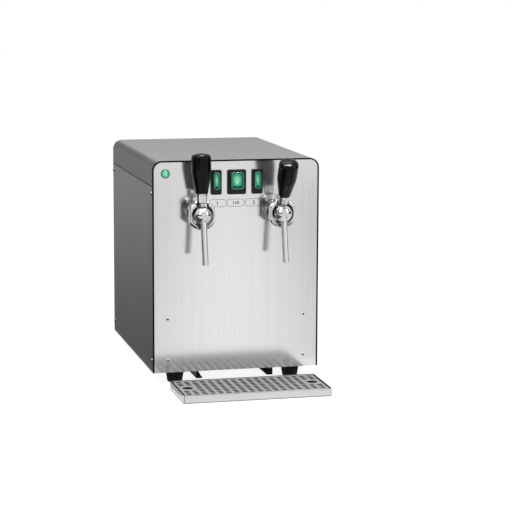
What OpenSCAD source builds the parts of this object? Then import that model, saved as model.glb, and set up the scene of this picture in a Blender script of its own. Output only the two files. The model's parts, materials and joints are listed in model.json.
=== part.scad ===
// Countertop dispenser for hot drinks, with two lever taps and two suction pumps.
// Millimetres, Z up. The front panel faces -Y and the object stands on Z = 0.

/* [Housing] */
// Width of the housing
body_w = 300; // [290:1:340]
// Depth of the housing, front panel face to rear panel face
body_d = 400; // [396:1:460]
// Height of the housing above its feet
body_h = 375; // [350:1:420]
// Outer radius of the two long top edges
edge_r = 17; // [10:1:22]
// Height of the hood's sides, from the top down to the seam
hood_side_h = 44; // [36:1:60]
// Width of the seam between the hood and the side panels
seam_gap = 0.8; // [0.4:0.1:1.5]
// Thickness of the hood and side sheets
sheet_t = 1.2; // [0.8:0.1:1.6]
// Thickness of the front and rear panels
panel_t = 1.5; // [1:0.1:2]
// Thickness of the base pan and of the inner front frame
frame_t = 1.5; // [1:0.1:2]
// Width of the folded flanges inside the housing
flange_w = 18; // [16:1:22]
// Height of the base pan's upturned edges
base_edge_h = 15; // [12:1:20]
// Width of the inner front frame beside the panel screws
frame_side_w = 34; // [31:1:38]
// Gap left between sheets that slide into each other
sheet_gap = 0.1; // [0.05:0.05:0.2]
// Diametral clearance of the lamp, taps and fittings in their panel holes
hole_gap = 0.3; // [0.2:0.05:0.4]
// Diametral clearance of round pieces that are pressed or glued into each other
press_gap = 0.1; // [0.05:0.05:0.15]

/* [Base and cooling slots] */
// Number of drain slots under the tank
drain_n = 5; // [3:2:7]
// Distance between the drain slots
drain_pitch = 18; // [14:1:22]
// Width of a drain slot
drain_w = 6; // [4:0.5:8]
// Length of a drain slot
drain_l = 60; // [40:1:80]
// Number of cooling slots in a block of the rear panel
vent_n = 9; // [5:1:9]
// Length of a cooling slot
vent_l = 64; // [50:1:70]
// Height of a cooling slot
vent_h = 4; // [3:0.1:5]
// Distance between cooling slots
vent_pitch = 11; // [8:0.5:12]
// Distance from the seam down to the highest cooling slot
vent_drop = 20; // [14:1:26]

/* [Edge trim] */
// Visible width of the trim around the front panel
trim_w = 2.5; // [1.8:0.1:4]
// Thickness of the trim's front lip
trim_lip = 1; // [0.6:0.1:1.5]
// Thickness of the trim outside the panel's edge
trim_web = 1.1; // [0.8:0.1:1.4]
// Thickness of the trim's leg behind the panel
trim_leg_t = 1.4; // [1:0.1:2]
// Width of the trim's leg behind the panel
trim_leg_w = 7; // [5:1:9]

/* [Feet and rails] */
// Height of the rubber feet
foot_h = 22; // [20:1:30]
// Diameter of a foot where it meets the base
foot_top_d = 33; // [28:1:38]
// Diameter of a foot where it meets the table
foot_bottom_d = 27; // [24:1:28]
// Distance from the housing's side to a foot's axis
foot_inset_x = 44; // [36:1:50]
// Distance from the front or rear face to a foot's axis
foot_inset_y = 26; // [22:1:40]
// Diameter of the recess for the foot screw
foot_recess_d = 13; // [12.5:0.5:15]
// Depth of the recess for the foot screw
foot_recess_h = 11; // [8:1:14]
// Distance between the outer faces of the two rails under the base
rail_span = 140.5; // [130:0.5:146]
// Distance by which the rails stand right of the middle
rail_shift = 2.75; // [0:0.05:5]
// Width of a rail
rail_w = 11; // [8:1:14]
// Height of a rail
rail_h = 18; // [12:1:19]
// Wall of a rail
rail_t = 2; // [1:0.1:3]
// Distance from the front and rear faces to a rail's ends
rail_inset_y = 22; // [20:1:60]

/* [Screws] */
// Diameter of the housing screws
screw_d = 4; // [3:0.5:4]
// Head diameter of the housing screws
screw_head_d = 7; // [6:0.5:8]
// Head diameter of the front panel's screws
front_screw_head_d = 6; // [5:0.1:7]
// Share of a screw head's width that its hexagon socket takes
socket_share = 0.55; // [0.4:0.01:0.6]
// Depth of a screw's hexagon socket
socket_h = 1.3; // [0.8:0.1:1.4]
// Head height of the housing screws
screw_head_h = 2; // [1.5:0.1:2.5]
// Length of the housing screws under the head
screw_l = 9; // [7:0.5:12]
// Diametral clearance around a screw
screw_gap = 0.4; // [0.2:0.1:0.8]
// Distance from the sides to the front panel's screws
front_screw_x = 26.5; // [25:0.5:28]
// Height of the lower front screws above the base
front_screw_low = 21.5; // [20:0.5:30]
// Height of the upper front screws above the base
front_screw_high = 96; // [80:1:120]
// Distance from the front and rear edges to the side screws
side_screw_y = 9; // [8:0.5:10]
// Height of the lower side screws above the base
side_screw_low = 21.5; // [20:0.5:30]
// Distance from the seam down to the upper side screws
side_screw_high = 12; // [10:0.5:20]

/* [Pilot lamp] */
// Distance from the left side to the lamp's axis
lamp_x = 23; // [21:0.5:27]
// Distance from the top to the lamp's axis
lamp_drop = 22.5; // [19:0.5:28]
// Diameter of the lamp's bezel
lamp_d = 15.6; // [13:0.1:17]
// Thickness of the lamp's bezel
lamp_rim_t = 1.4; // [1:0.1:2]
// Diameter of the lens
lens_d = 13.4; // [11.4:0.1:13.6]
// Height of the lens in front of the bezel
lens_h = 3.4; // [2:0.1:4.5]
// Diameter of the lamp's barrel
lamp_barrel_d = 10; // [8:0.5:11]
// Length of the lamp's barrel behind the panel
lamp_barrel_l = 22; // [16:1:26]

/* [Switches] */
// Distance between neighbouring switches
switch_pitch = 36.8; // [35.5:0.1:38]
// Distance from the top to the switches' axis
switch_drop = 39.2; // [39:0.1:44]
// Width of the main switch's frame
main_frame_w = 33.6; // [32:0.1:35]
// Width of a pump switch's frame
pump_frame_w = 19.4; // [19:0.1:20]
// Height of a switch frame
switch_frame_h = 43.4; // [42:0.1:48]
// Thickness of a switch frame
switch_frame_t = 3; // [2:0.1:4]
// Corner radius of a switch frame
switch_frame_r = 3; // [2:0.1:4]
// Distance from the frame's middle up to the rocker's middle
rocker_rise = 2.8; // [2:0.1:3.2]
// Width of the main switch's clear cap
main_cap_w = 22.6; // [21.6:0.1:24]
// Width of a pump switch's clear cap
pump_cap_w = 11.4; // [11:0.1:12]
// Height of a clear cap
cap_h = 30.6; // [29:0.1:31]
// Reach of a clear cap in front of the panel
cap_out = 11; // [10.5:0.1:13]
// Wall of a clear cap
cap_t = 0.9; // [0.6:0.1:1.1]
// Corner radius of a clear cap
cap_r = 4.6; // [3:0.1:5]
// Diametral clearance of a cap in its collar
cap_gap = 0.2; // [0.1:0.05:0.3]
// Width of the black collar around a cap
collar_w = 2; // [1.2:0.1:2.6]
// Reach of the collar in front of the panel
collar_out = 7.5; // [6:0.1:8.5]
// Width of the main rocker
main_rocker_w = 17; // [14:0.1:17.6]
// Width of a pump rocker
pump_rocker_w = 8.2; // [6:0.1:8.4]
// Height of a rocker
rocker_h = 22.2; // [20:0.1:23]
// Corner radius of a rocker's face
rocker_r = 3.6; // [1:0.1:4]
// Tilt of a rocker to either side
rocker_tilt = 7; // [4:0.5:8]
// Hollow of a rocker's face
rocker_dish = 1.1; // [0.6:0.1:1.5]
// Distance from the panel back to a rocker's axis
rocker_axis_y = 4; // [2:0.5:6]
// Diameter of a rocker's hub
rocker_hub_d = 6; // [5:0.5:6]
// Diameter of a rocker's pin
rocker_pin_d = 2.4; // [2:0.1:3]
// Depth of a switch body behind the panel
switch_body_l = 26; // [22:1:30]
// Wall of a switch body
switch_body_t = 1.2; // [1:0.1:1.2]

/* [Taps] */
// Distance between the two taps
tap_pitch = 143; // [136:1:148]
// Distance from the top down to the taps' axis
tap_drop = 90.5; // [88:0.5:96]
// Diameter of the wall flange
tap_flange_d = 36; // [30:1:40]
// Thickness of the wall flange
tap_flange_t = 3; // [2:0.5:4]
// Diameter of the shank
shank_d = 20; // [19:0.5:22]
// Length of the shank behind the panel face
shank_in = 34; // [30:1:40]
// Distance from the panel to the back of the tap body
body_back = 19; // [16:1:20]
// Diameter of the tap body's neck
neck_d = 29; // [28:0.5:31]
// Distance from the panel to the back of the tap's cup
cup_back = 33; // [31:1:33.5]
// Distance from the panel to the cup's front rim
cup_front = 48; // [46:0.5:50]
// Outer diameter of the cup
cup_d = 51.5; // [49:0.5:54]
// Width across the cup's two side flats
cup_flats = 43; // [42:0.5:45]
// Diameter of the cup's bore
cup_bore_d = 37; // [35:0.5:39]
// Thickness of the cup's back wall
cup_wall_t = 5; // [4:0.5:5.5]
// Bevel of the cup's front rim
cup_bevel = 2; // [1:0.1:2.5]
// Width of the lever's slot through the top of the cup
cup_slot_w = 22; // [21:0.5:24]
// Distance from the panel to the ball's centre
ball_y = 50; // [49:0.5:51]
// Diameter of the ball
ball_d = 31; // [30:0.1:31]
// Diameter of the ball's neck
ball_neck_d = 24; // [22:0.5:26]
// Outer diameter of the spout
spout_d = 11; // [9:0.1:11.5]
// Wall of the spout
spout_t = 1.2; // [0.8:0.1:1.5]
// Lean of the spout, away from the panel
spout_lean = 12; // [9:0.5:14]
// Distance from the ball's centre forward to the spout's axis
spout_offset = 4.5; // [4:0.1:5.5]
// Height from the tap's axis down to the spout's mouth
spout_drop = 83; // [60:0.5:95]

/* [Levers] */
// Distance from the panel to the lever's pin
pivot_y = 44; // [43:0.5:44.5]
// Height of the lever's pin above the tap's axis
pivot_rise = 8; // [7.8:0.1:8.2]
// Diameter of the lever's pin
pivot_d = 4; // [3:0.1:4]
// Radial clearance around the lever's pin
pivot_gap = 0.05; // [0.03:0.01:0.08]
// Diameter of the lever's hub
hub_d = 7; // [6.5:0.1:7]
// Width of the lever's hub
hub_w = 8; // [7:0.1:8.4]
// Clearance on each side of the lever in its slot
lever_gap = 0.4; // [0.3:0.1:0.6]
// Diameter of the lever's stem
stem_d = 7; // [6:0.1:7.4]
// Length of the lever's lower arm
arm_l = 7.5; // [7:0.1:7.8]
// Diameter of the arm's rounded end
arm_end_d = 3.6; // [3:0.1:3.8]
// Thickness of the lower arm
arm_t = 2.2; // [1.8:0.1:2.4]
// Width of the lower arm
arm_w = 3.4; // [3:0.1:3.6]
// Backward lean of a closed lever
lever_closed = 4; // [2:0.5:5]
// Forward lean of an open lever
lever_open = 28; // [20:0.5:28]
// Distance from the pin to the ferrule's lower end
ferrule_from = 12.8; // [12.2:0.1:13.5]
// Lower diameter of the ferrule
ferrule_low_d = 17.8; // [16:0.1:18.5]
// Upper diameter of the ferrule
ferrule_top_d = 19.6; // [18:0.1:20]
// Distance from the pin to the grip's lower end
grip_from = 29; // [27:0.1:31]
// Length of the grip
grip_l = 70.5; // [62:0.5:80]
// Diameter of the grip's lower end
grip_low_d = 21; // [20:0.1:22]
// Largest diameter of the grip
grip_d = 34.4; // [32:0.1:37]
// Half angle of the grip's taper
grip_taper = 11; // [10:0.5:13]
// Radius of the arc between the grip's taper and its straight upper end
grip_blend_r = 80; // [50:1:100]
// Corner radius at the grip's upper end
grip_corner = 7; // [4:0.5:8]
// Depth of the stem's hole in the grip
grip_hole_l = 32; // [20:1:45]

/* [Valve] */
// Diameter of the plunger's guided head
plunger_d = 8; // [7.8:0.1:8.2]
// Diameter of the plunger's rod
rod_d = 5; // [4:0.1:6]
// Diameter of the plunger's seal disc
seal_d = 12.4; // [11.5:0.1:12.6]
// Thickness of the seal disc
seal_t = 4; // [3:0.1:5]
// Radial clearance around the plunger
plunger_gap = 0.2; // [0.1:0.05:0.3]
// Distance from the panel to the valve seat
seat_y = 12; // [10:0.5:14]
// Diameter of the passage through the seat
seat_d = 9; // [8.6:0.1:10]
// Diameter of the valve chamber behind the seat
chamber_d = 13.4; // [13:0.1:14]
// Length of the valve chamber
chamber_l = 14; // [11:0.5:18]
// Gap between the closed seal and its seat
seal_gap = 0.3; // [0.2:0.05:0.5]

/* [Heater] */
// Radius of the heater tank
tank_r = 95; // [85:1:100]
// Distance from the front panel to the tank's axis
tank_y = 190; // [175:1:200]
// Wall of the tank
tank_t = 1.5; // [1:0.1:2]
// Outer radius of the tank's upper and lower edges
tank_edge_r = 10; // [6:1:11]
// Height of the tank's legs
tank_leg_h = 22; // [15:1:30]
// Diameter of the tank's legs
tank_leg_d = 14; // [10:1:18]
// Radius of the circle on which the legs stand
tank_leg_circle = 62; // [50:1:75]
// Diameter of the heating element's flange
element_flange_d = 74; // [70:1:80]
// Thickness of the heating element's flange
element_flange_t = 8; // [6:0.5:10]
// Diameter of the opening that the element passes through
element_hole_d = 60; // [58:1:62]
// Diameter of the heating tube
element_tube_d = 8.5; // [7:0.5:10]
// Bend radius of the heating loops
element_bend_r = 19; // [16:0.5:20]
// Distance between the heating loops
element_pitch = 26; // [22:1:30]
// Gap between the heating loops and the tank's floor
element_floor_gap = 28; // [20:1:60]
// Diameter of the thermostat
thermostat_d = 16; // [14:1:20]
// Height of the thermostat
thermostat_h = 9; // [7:1:12]

/* [Pumps and hoses] */
// Distance between the two pumps' ports
inlet_pitch = 104; // [96:1:110]
// Height of the pumps' ports above the base pan
inlet_rise = 42.5; // [40:0.5:50]
// Distance from the rear face to the pumps' axis
pump_back = 70; // [68:1:76]
// Diameter of the pump head
pump_head_d = 46; // [42:1:48]
// Width of the pump head
pump_head_w = 24; // [20:1:28]
// Side of the square plate between head and motor
pump_plate = 50; // [48:1:52]
// Thickness of that plate
pump_plate_t = 6; // [4:0.5:8]
// Diameter of the pump motor
motor_d = 42; // [36:1:44]
// Length of the pump motor
motor_l = 58; // [50:1:60]
// Distance from the pump's axis to its outlet face
pump_reach = 28; // [26:1:30]
// Diameter of the port bosses
boss_d = 18; // [16:0.5:20]
// Outer diameter of the hose tails
tail_d = 12; // [11:0.5:13]
// Bore of the hose tails and ports
port_bore = 8; // [6:0.5:8.5]
// Length of the hose tails
tail_l = 16; // [12:1:18]
// Wall of the hoses
hose_t = 3; // [2:0.5:4]
// Gap between a hose and the tail inside it
hose_gap = 0.1; // [0.05:0.05:0.2]
// Gap between a hose's end and the shoulder behind it
hose_end_gap = 2; // [1:0.5:3]
// Bend radius of the hot hoses
hose_bend_r = 28; // [20:1:32]
// Outer diameter of the inlet spigots
spigot_d = 12.7; // [12:0.1:14]
// Length of the inlet spigots
spigot_l = 24; // [18:1:30]
// Width across the flats of the inlet fittings
inlet_flats = 22; // [21:0.5:26]
// Thickness of the inlet fittings' hexagons
inlet_hex_t = 6; // [4:0.5:8]

/* [Electrics] */
// Distance from the left side to the terminal block's middle
terminal_x = 25; // [22:0.5:27]
// Distance from the front panel to the terminal block's middle
terminal_y = 165; // [150:1:180]
// Length of the terminal block
terminal_l = 88; // [80:1:96]
// Width of the terminal block
terminal_w = 22; // [18:0.5:24]
// Height of the terminal block
terminal_h = 20; // [18:0.5:24]
// Number of terminals
terminal_n = 7; // [5:1:8]
// Diameter of the wiring bundle
loom_d = 8; // [6:0.5:9]
// Bend radius of the wiring bundle
loom_r = 14; // [10:1:16]
// Distance from the front panel to the upright wiring
loom_y = 46; // [44:1:54]
// Height of the cable gland above the base
gland_rise = 128; // [122:1:160]
// Width across the flats of the cable gland
gland_flats = 24; // [22:0.5:28]
// Bore of the cable gland
gland_bore = 9; // [8.5:0.5:10]
// Length of the cable gland outside the rear panel
gland_l = 26; // [20:1:30]

/* [Drip tray] */
// Width of the drip pan
pan_w = 263; // [255:1:275]
// Depth of the drip pan
pan_l = 120; // [118:1:140]
// Height of the drip pan
pan_h = 13; // [11:0.5:20]
// Wall of the drip pan
pan_t = 1.2; // [1:0.1:2]
// Corner radius of the drip pan
pan_r = 8; // [5:0.5:12]
// Distance from the front panel to the pan's rear wall
pan_gap = 27; // [20:1:40]
// Distance by which the pan stands right of the middle
pan_shift = 5; // [0:0.5:8]
// Gap between the pan's side walls and the grate
grate_gap_x = 3.6; // [2:0.1:4]
// Gap between the pan's front and rear walls and the grate
grate_gap_y = 1.4; // [0.8:0.1:2]
// Thickness of the grate
grate_t = 1.2; // [1:0.1:2]
// Distance from the pan's rim down to the grate's face
grate_recess = 0.4; // [0:0.1:1]
// Gap under the grate's folded edges
grate_seat_gap = 0.2; // [0.1:0.05:0.3]
// Number of hole columns
hole_cols = 18; // [16:1:18]
// Number of hole rows
hole_rows = 9; // [7:2:9]
// Distance between hole columns
hole_pitch_x = 13.9; // [12.5:0.1:13.9]
// Distance between hole rows
hole_pitch_y = 11.4; // [10.8:0.1:11.8]
// Width of a hole
hole_w = 8.4; // [7:0.1:9]
// Depth of a hole
hole_l = 7.2; // [6.6:0.1:8.8]
// Diameter of the two finger holes
finger_d = 18.6; // [16:0.1:19]

/* [Hidden] */
$fn = 64;
half_w = body_w / 2;
base_z = foot_h;
floor_z = base_z + frame_t;
top_z = base_z + body_h;
seam_z = top_z - hood_side_h;
// Where the sheets behind the trim begin and end along Y
sheet_front = panel_t + trim_leg_t;
sheet_back = body_d - panel_t;
inner_inset = sheet_t + sheet_gap;
screw_hole_d = screw_d + screw_gap;
side_screw_zs = [base_z + side_screw_low, seam_z - seam_gap - side_screw_high];
side_screw_ys = [side_screw_y, body_d - side_screw_y];
front_screw_zs = [base_z + front_screw_low, base_z + front_screw_high];
hood_screw_xs = [-body_w * 0.3, 0, body_w * 0.3];
hood_screw_z = top_z - flange_w / 2;
base_screw_z = base_z + base_edge_h / 2 + 1;
base_screw_xs = [-body_w * 0.3, body_w * 0.3];
foot_screw_d = screw_d + 1;
foot_xs = [-half_w + foot_inset_x, half_w - foot_inset_x];
foot_ys = [foot_inset_y, body_d - foot_inset_y];
lamp_axis_x = -half_w + lamp_x;
lamp_z = top_z - lamp_drop;
switch_z = top_z - switch_drop;
rocker_z = switch_z + rocker_rise;
tap_z = top_z - tap_drop;
tap_xs = [-tap_pitch / 2, tap_pitch / 2];
pivot_z = pivot_rise;
ball_r = ball_d / 2;
// Travel of the plunger for the lever's whole swing
plunger_travel = arm_l * (sin(lever_open) + sin(lever_closed));
head_bore_r = plunger_d / 2 + plunger_gap;
shank_front = cup_back - cup_wall_t - 2;
spout_mouth = spout_drop / cos(spout_lean);
hose_d = tail_d + 2 * (hose_gap + hose_t);
inlet_bolt_d = tail_d + 4;
gland_thread_d = gland_bore + 7;
tank_bottom = floor_z + tank_leg_h;
tank_port_y = tank_y - 20;
tank_top = tap_z - hose_bend_r - tail_l;
inlet_z = floor_z + inlet_rise;
pump_y = body_d - pump_back;
pump_front = pump_y - pump_reach;
gland_z = base_z + gland_rise;
gland_x = -half_w + terminal_x;
pan_back = -pan_gap;
pan_front = pan_back - pan_l;
pan_mid = (pan_back + pan_front) / 2;
grate_top = pan_h - grate_recess;
// The origin lies in the middle of the object's bounding box, on the table
rear_end = body_d + max(inlet_hex_t + spigot_l, gland_l);
origin_y = -(rear_end + pan_front) / 2;

// Moves a piece from the front panel's frame into the object's own frame
module placed() {
    translate([0, origin_y, 0]) children();
}

// Extrudes a drawing of X and Z from y = a to y = b
module along_y(a, b) {
    translate([0, b, 0]) rotate([90, 0, 0]) linear_extrude(height = b - a) children();
}

// Extrudes a drawing of Y and Z from x = a to x = b
module along_x(a, b) {
    translate([a, 0, 0]) rotate([90, 0, 90]) linear_extrude(height = b - a) children();
}

module rod_y(d, a, b, f = 64) {
    translate([0, a, 0]) rotate([-90, 0, 0]) cylinder(d = d, h = b - a, $fn = f);
}

module rod_x(d, a, b, f = 64) {
    translate([a, 0, 0]) rotate([0, 90, 0]) cylinder(d = d, h = b - a, $fn = f);
}

// Turns a drawing of radius and distance around the Y axis
module turned_y() {
    rotate([-90, 0, 0]) rotate_extrude() children();
}

module rounded_rect(w, h, r) {
    square([w - 2 * r, h], center = true);
    square([w, h - 2 * r], center = true);
    for (x = [-1, 1], y = [-1, 1]) translate([x * (w / 2 - r), y * (h / 2 - r)]) circle(r = r);
}

// Section of a tube
module tube_ring(d, bore) {
    difference() {
        circle(d = d);
        if (bore > 0) circle(d = bore);
    }
}

// Front view of the housing, drawn in X and Z and drawn in by inset
module outline(inset, from = base_z) {
    w = half_w - inset;
    t = top_z - inset;
    r = max(edge_r - inset, 1);
    translate([-w, from]) square([2 * w, t - r - from]);
    translate([-w + r, from]) square([2 * (w - r), t - from]);
    for (x = [-1, 1]) translate([x * (w - r), t - r]) circle(r = r);
}

// Band that follows the housing's outline, between two insets
module band(from_inset, to_inset, from = base_z) {
    difference() {
        outline(from_inset, from);
        outline(to_inset, from - 1);
        translate([-half_w + to_inset, from - 2]) square([body_w - 2 * to_inset, 3]);
    }
}

// Pan-head screw with a hexagon socket, its head's underside at z = 0 and its shank below
module screw(d, head_d, head_h, l) {
    r = d / 2;
    head_r = head_d / 2;
    difference() {
        rotate_extrude() polygon([
            [0, -l], [r * 0.8, -l], [r, -l + r * 0.3], [r, 0], [head_r, 0],
            [head_r, head_h * 0.45], [head_r * 0.88, head_h * 0.82],
            [head_r * 0.64, head_h], [0, head_h]
        ]);
        translate([0, 0, head_h - socket_h]) cylinder(d = head_d * socket_share, h = head_h, $fn = 6);
    }
}

// HOUSING

module base_pan() color("dimgray") placed() {
    w = half_w - inner_inset;
    difference() {
        union() {
            translate([-w, sheet_front, base_z])
                cube([2 * w, sheet_back - sheet_front, frame_t]);
            for (s = [-1, 1])
                translate([s > 0 ? w - frame_t : -w, sheet_front + flange_w + 1, base_z])
                    cube([frame_t, sheet_back - sheet_front - 2 * flange_w - 2, base_edge_h]);
            translate([-w + flange_w, sheet_back - frame_t, base_z])
                cube([2 * (w - flange_w), frame_t, base_edge_h]);
        }
        for (x = foot_xs, y = foot_ys)
            translate([x, y, base_z - 1]) cylinder(d = foot_screw_d + screw_gap, h = frame_t + 2);
        for (x = base_screw_xs)
            translate([x, 0, base_screw_z])
                rod_y(screw_hole_d, sheet_back - frame_t - 1, sheet_back + 1);
        // drain slots under the tank
        for (i = [0:drain_n - 1])
            translate([(i - (drain_n - 1) / 2) * drain_pitch, tank_y, base_z])
                cube([drain_w, drain_l, 3 * frame_t], center = true);
    }
}

module front_frame() color("gray") placed() {
    edge = inner_inset;
    narrow = flange_w * 0.6;
    difference() {
        union() {
            along_y(sheet_front, sheet_front + frame_t) difference() {
                outline(edge, floor_z);
                translate([-half_w + frame_side_w, floor_z - 1])
                    square([body_w - 2 * frame_side_w, tap_z - floor_z + 1]);
                outline(edge + narrow, tap_z - 0.01);
            }
            along_y(sheet_front, sheet_front + flange_w) band(edge, edge + frame_t, floor_z);
        }
        for (s = [-1, 1], z = front_screw_zs)
            translate([s * (half_w - front_screw_x), 0, z])
                rod_y(screw_hole_d, sheet_front - 1, sheet_front + frame_t + 1);
        for (z = side_screw_zs)
            translate([0, side_screw_y, z]) rod_x(screw_hole_d, -half_w, half_w);
    }
}

module front_panel() color("lightgray") placed() {
    difference() {
        along_y(0, panel_t) outline(trim_web + sheet_gap);
        for (s = [-1, 1], z = front_screw_zs)
            translate([s * (half_w - front_screw_x), 0, z]) rod_y(screw_hole_d, -1, panel_t + 1);
        translate([lamp_axis_x, 0, lamp_z]) rod_y(lamp_barrel_d + hole_gap, -1, panel_t + 1);
        switch_cutout(0, main_cap_w);
        for (s = [-1, 1]) switch_cutout(s * switch_pitch, pump_cap_w);
        for (x = tap_xs) translate([x, 0, tap_z]) rod_y(shank_d + hole_gap, -1, panel_t + 1);
    }
}

module switch_cutout(x, w) {
    along_y(-1, panel_t + 1) translate([x, rocker_z])
        square([w + 2 * sheet_gap, cap_h + 2 * sheet_gap], center = true);
}

module front_trim() color("black") placed() {
    along_y(-trim_lip, 0) band(0, trim_w);
    along_y(0, panel_t) band(0, trim_web);
    along_y(panel_t, sheet_front) band(0, trim_leg_w);
}

module top_cover() color("silver") placed() {
    strip_h = 8;
    difference() {
        union() {
            along_y(sheet_front, sheet_back) band(0, sheet_t, seam_z);
            along_y(sheet_back - sheet_t, sheet_back) band(0, flange_w, seam_z);
            // strips that hang behind the seam
            for (s = [-1, 1]) mirror([s > 0 ? 0 : 1, 0, 0])
                translate([half_w - 2 * sheet_t, sheet_front + flange_w + 2, seam_z - strip_h])
                    cube([sheet_t, sheet_back - sheet_front - 2 * flange_w - 4, 2 * strip_h]);
        }
        for (x = hood_screw_xs)
            translate([x, 0, hood_screw_z]) rod_y(screw_hole_d, sheet_back - sheet_t - 1, body_d);
    }
}

module side_panel() {
    difference() {
        translate([half_w - sheet_t, sheet_front, base_z])
            cube([sheet_t, sheet_back - sheet_front, seam_z - seam_gap - base_z]);
        for (y = side_screw_ys, z = side_screw_zs)
            translate([0, y, z]) rod_x(screw_hole_d, half_w - sheet_t - 1, half_w + 1);
    }
}

module side_panel_left() color("gray") placed() mirror([1, 0, 0]) side_panel();
module side_panel_right() color("gray") placed() side_panel();

module rear_panel() color("gray") placed() {
    difference() {
        union() {
            along_y(sheet_back, body_d) outline(0);
            along_y(sheet_back - flange_w, sheet_back) difference() {
                band(inner_inset, inner_inset + frame_t, floor_z);
                translate([-body_w, seam_z - seam_gap - 2]) square([2 * body_w, 2 * hood_side_h]);
            }
        }
        // cooling slots, a block on either side
        for (s = [-1, 1], i = [0:vent_n - 1])
            translate([s * body_w / 4, 0, seam_z - vent_drop - i * vent_pitch])
                along_y(sheet_back - 1, body_d + 1) rounded_rect(vent_l, vent_h, vent_h * 0.49);
        for (s = [-1, 1])
            translate([s * inlet_pitch / 2, 0, inlet_z])
                rod_y(inlet_bolt_d + hole_gap, sheet_back - 1, body_d + 1);
        translate([gland_x, 0, gland_z]) rod_y(gland_thread_d + hole_gap, sheet_back - 1, body_d + 1);
        for (x = hood_screw_xs)
            translate([x, 0, hood_screw_z]) rod_y(screw_hole_d, sheet_back - 1, body_d + 1);
        for (x = base_screw_xs)
            translate([x, 0, base_screw_z]) rod_y(screw_hole_d, sheet_back - 1, body_d + 1);
        for (z = side_screw_zs)
            translate([0, body_d - side_screw_y, z]) rod_x(screw_hole_d, -half_w - 1, half_w + 1);
    }
}

module rubber_feet() color("black") placed() {
    lip = 2;
    for (x = foot_xs, y = foot_ys) translate([x, y, 0]) difference() {
        rotate_extrude() difference() {
            polygon([
                [0, 0], [foot_bottom_d / 2 - lip, 0], [foot_bottom_d / 2, lip],
                [foot_top_d / 2, foot_h - 1.5], [foot_top_d / 2 - 1, foot_h], [0, foot_h]
            ]);
            square([(foot_screw_d + screw_gap) / 2, foot_h * 3]);
        }
        translate([0, 0, -1]) cylinder(d = foot_recess_d, h = foot_recess_h + 1);
    }
}

module foot_screws() color("silver") placed() {
    for (x = foot_xs, y = foot_ys) translate([x, y, foot_recess_h]) mirror([0, 0, 1])
        screw(foot_screw_d, foot_recess_d - 2, 3, foot_h - foot_recess_h + frame_t + 5);
}

// Angle rails that open towards each other, closed at both ends by gussets
module base_rails() color("black") placed() {
    l = body_d - 2 * rail_inset_y;
    for (s = [0, 1]) translate([rail_shift, rail_inset_y, base_z - rail_h]) mirror([s, 0, 0])
        translate([-rail_span / 2, 0, 0]) {
            cube([rail_t, l, rail_h]);
            cube([rail_w, l, rail_t]);
            translate([0, 0, rail_h - rail_t]) cube([rail_w, l, rail_t]);
            for (y = [0, l - rail_t]) along_y(y, y + rail_t)
                polygon([[0, 0], [rail_w, 0], [rail_t, rail_h - rail_t], [0, rail_h]]);
        }
}

module front_screws() color("silver") placed() {
    for (s = [-1, 1], z = front_screw_zs)
        translate([s * (half_w - front_screw_x), 0, z]) rotate([90, 0, 0])
            screw(screw_d, front_screw_head_d, screw_head_h, screw_l);
}

module housing_screws() color("silver") placed() {
    for (s = [0, 1], y = side_screw_ys, z = side_screw_zs)
        mirror([s, 0, 0]) translate([half_w, y, z]) rotate([0, 90, 0])
            screw(screw_d, screw_head_d, screw_head_h, screw_l);
    for (x = hood_screw_xs) translate([x, body_d, hood_screw_z]) rotate([-90, 0, 0])
        screw(screw_d, screw_head_d, screw_head_h, screw_l);
    for (x = base_screw_xs) translate([x, body_d, base_screw_z]) rotate([-90, 0, 0])
        screw(screw_d, screw_head_d, screw_head_h, screw_l);
}

// PILOT LAMP

module lamp_holder() color("black") placed() translate([lamp_axis_x, 0, lamp_z]) turned_y() {
    difference() {
        union() {
            translate([0, -lamp_rim_t]) square([lamp_d / 2, lamp_rim_t]);
            square([lamp_barrel_d / 2, lamp_barrel_l]);
            translate([0, panel_t + 0.05]) square([lamp_barrel_d / 2 + 3, 3]);
        }
        translate([0, -lamp_rim_t - 1]) square([lens_d / 2 + 0.1, 1.6]);
        translate([0, -lamp_rim_t]) square([lamp_barrel_d / 2 - 1.4, lamp_barrel_l - 2]);
    }
}

module lamp_lens() color("limegreen") placed() translate([lamp_axis_x, 0, lamp_z]) turned_y() {
    // the lens is a dome on a short collar
    foot = -lamp_rim_t + 0.6;
    r = lens_d / 2;
    dome_r = (r * r + lens_h * lens_h) / (2 * lens_h);
    intersection() {
        translate([0, foot - lens_h]) square([r, lens_h]);
        union() {
            translate([0, foot - lens_h + dome_r]) circle(r = dome_r);
            translate([0, foot - 0.8]) square([r, 0.8]);
        }
    }
}

// SWITCHES

module switch_frame(x, frame_w, cap_w) {
    collar_o = cap_w + 2 * collar_w;
    translate([x, 0, 0]) difference() {
        union() {
            along_y(-switch_frame_t, 0) translate([0, switch_z])
                rounded_rect(frame_w, switch_frame_h, switch_frame_r);
            along_y(-collar_out, -switch_frame_t) translate([0, rocker_z])
                rounded_rect(collar_o, cap_h + 2 * collar_w, cap_r + collar_w);
            along_y(0, switch_body_l) translate([0, rocker_z])
                square([cap_w - cap_gap, cap_h - cap_gap], center = true);
        }
        // pocket for the clear cap
        along_y(-collar_out - 1, -0.6) translate([0, rocker_z])
            rounded_rect(cap_w + cap_gap, cap_h + cap_gap, cap_r + cap_gap / 2);
        // room for the rocker
        along_y(-1, switch_body_l - switch_body_t) translate([0, rocker_z])
            square([cap_w - 2 * switch_body_t, cap_h - 2 * switch_body_t], center = true);
        translate([0, rocker_axis_y, rocker_z]) rod_x(rocker_pin_d + press_gap, -cap_w, cap_w);
    }
}

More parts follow.
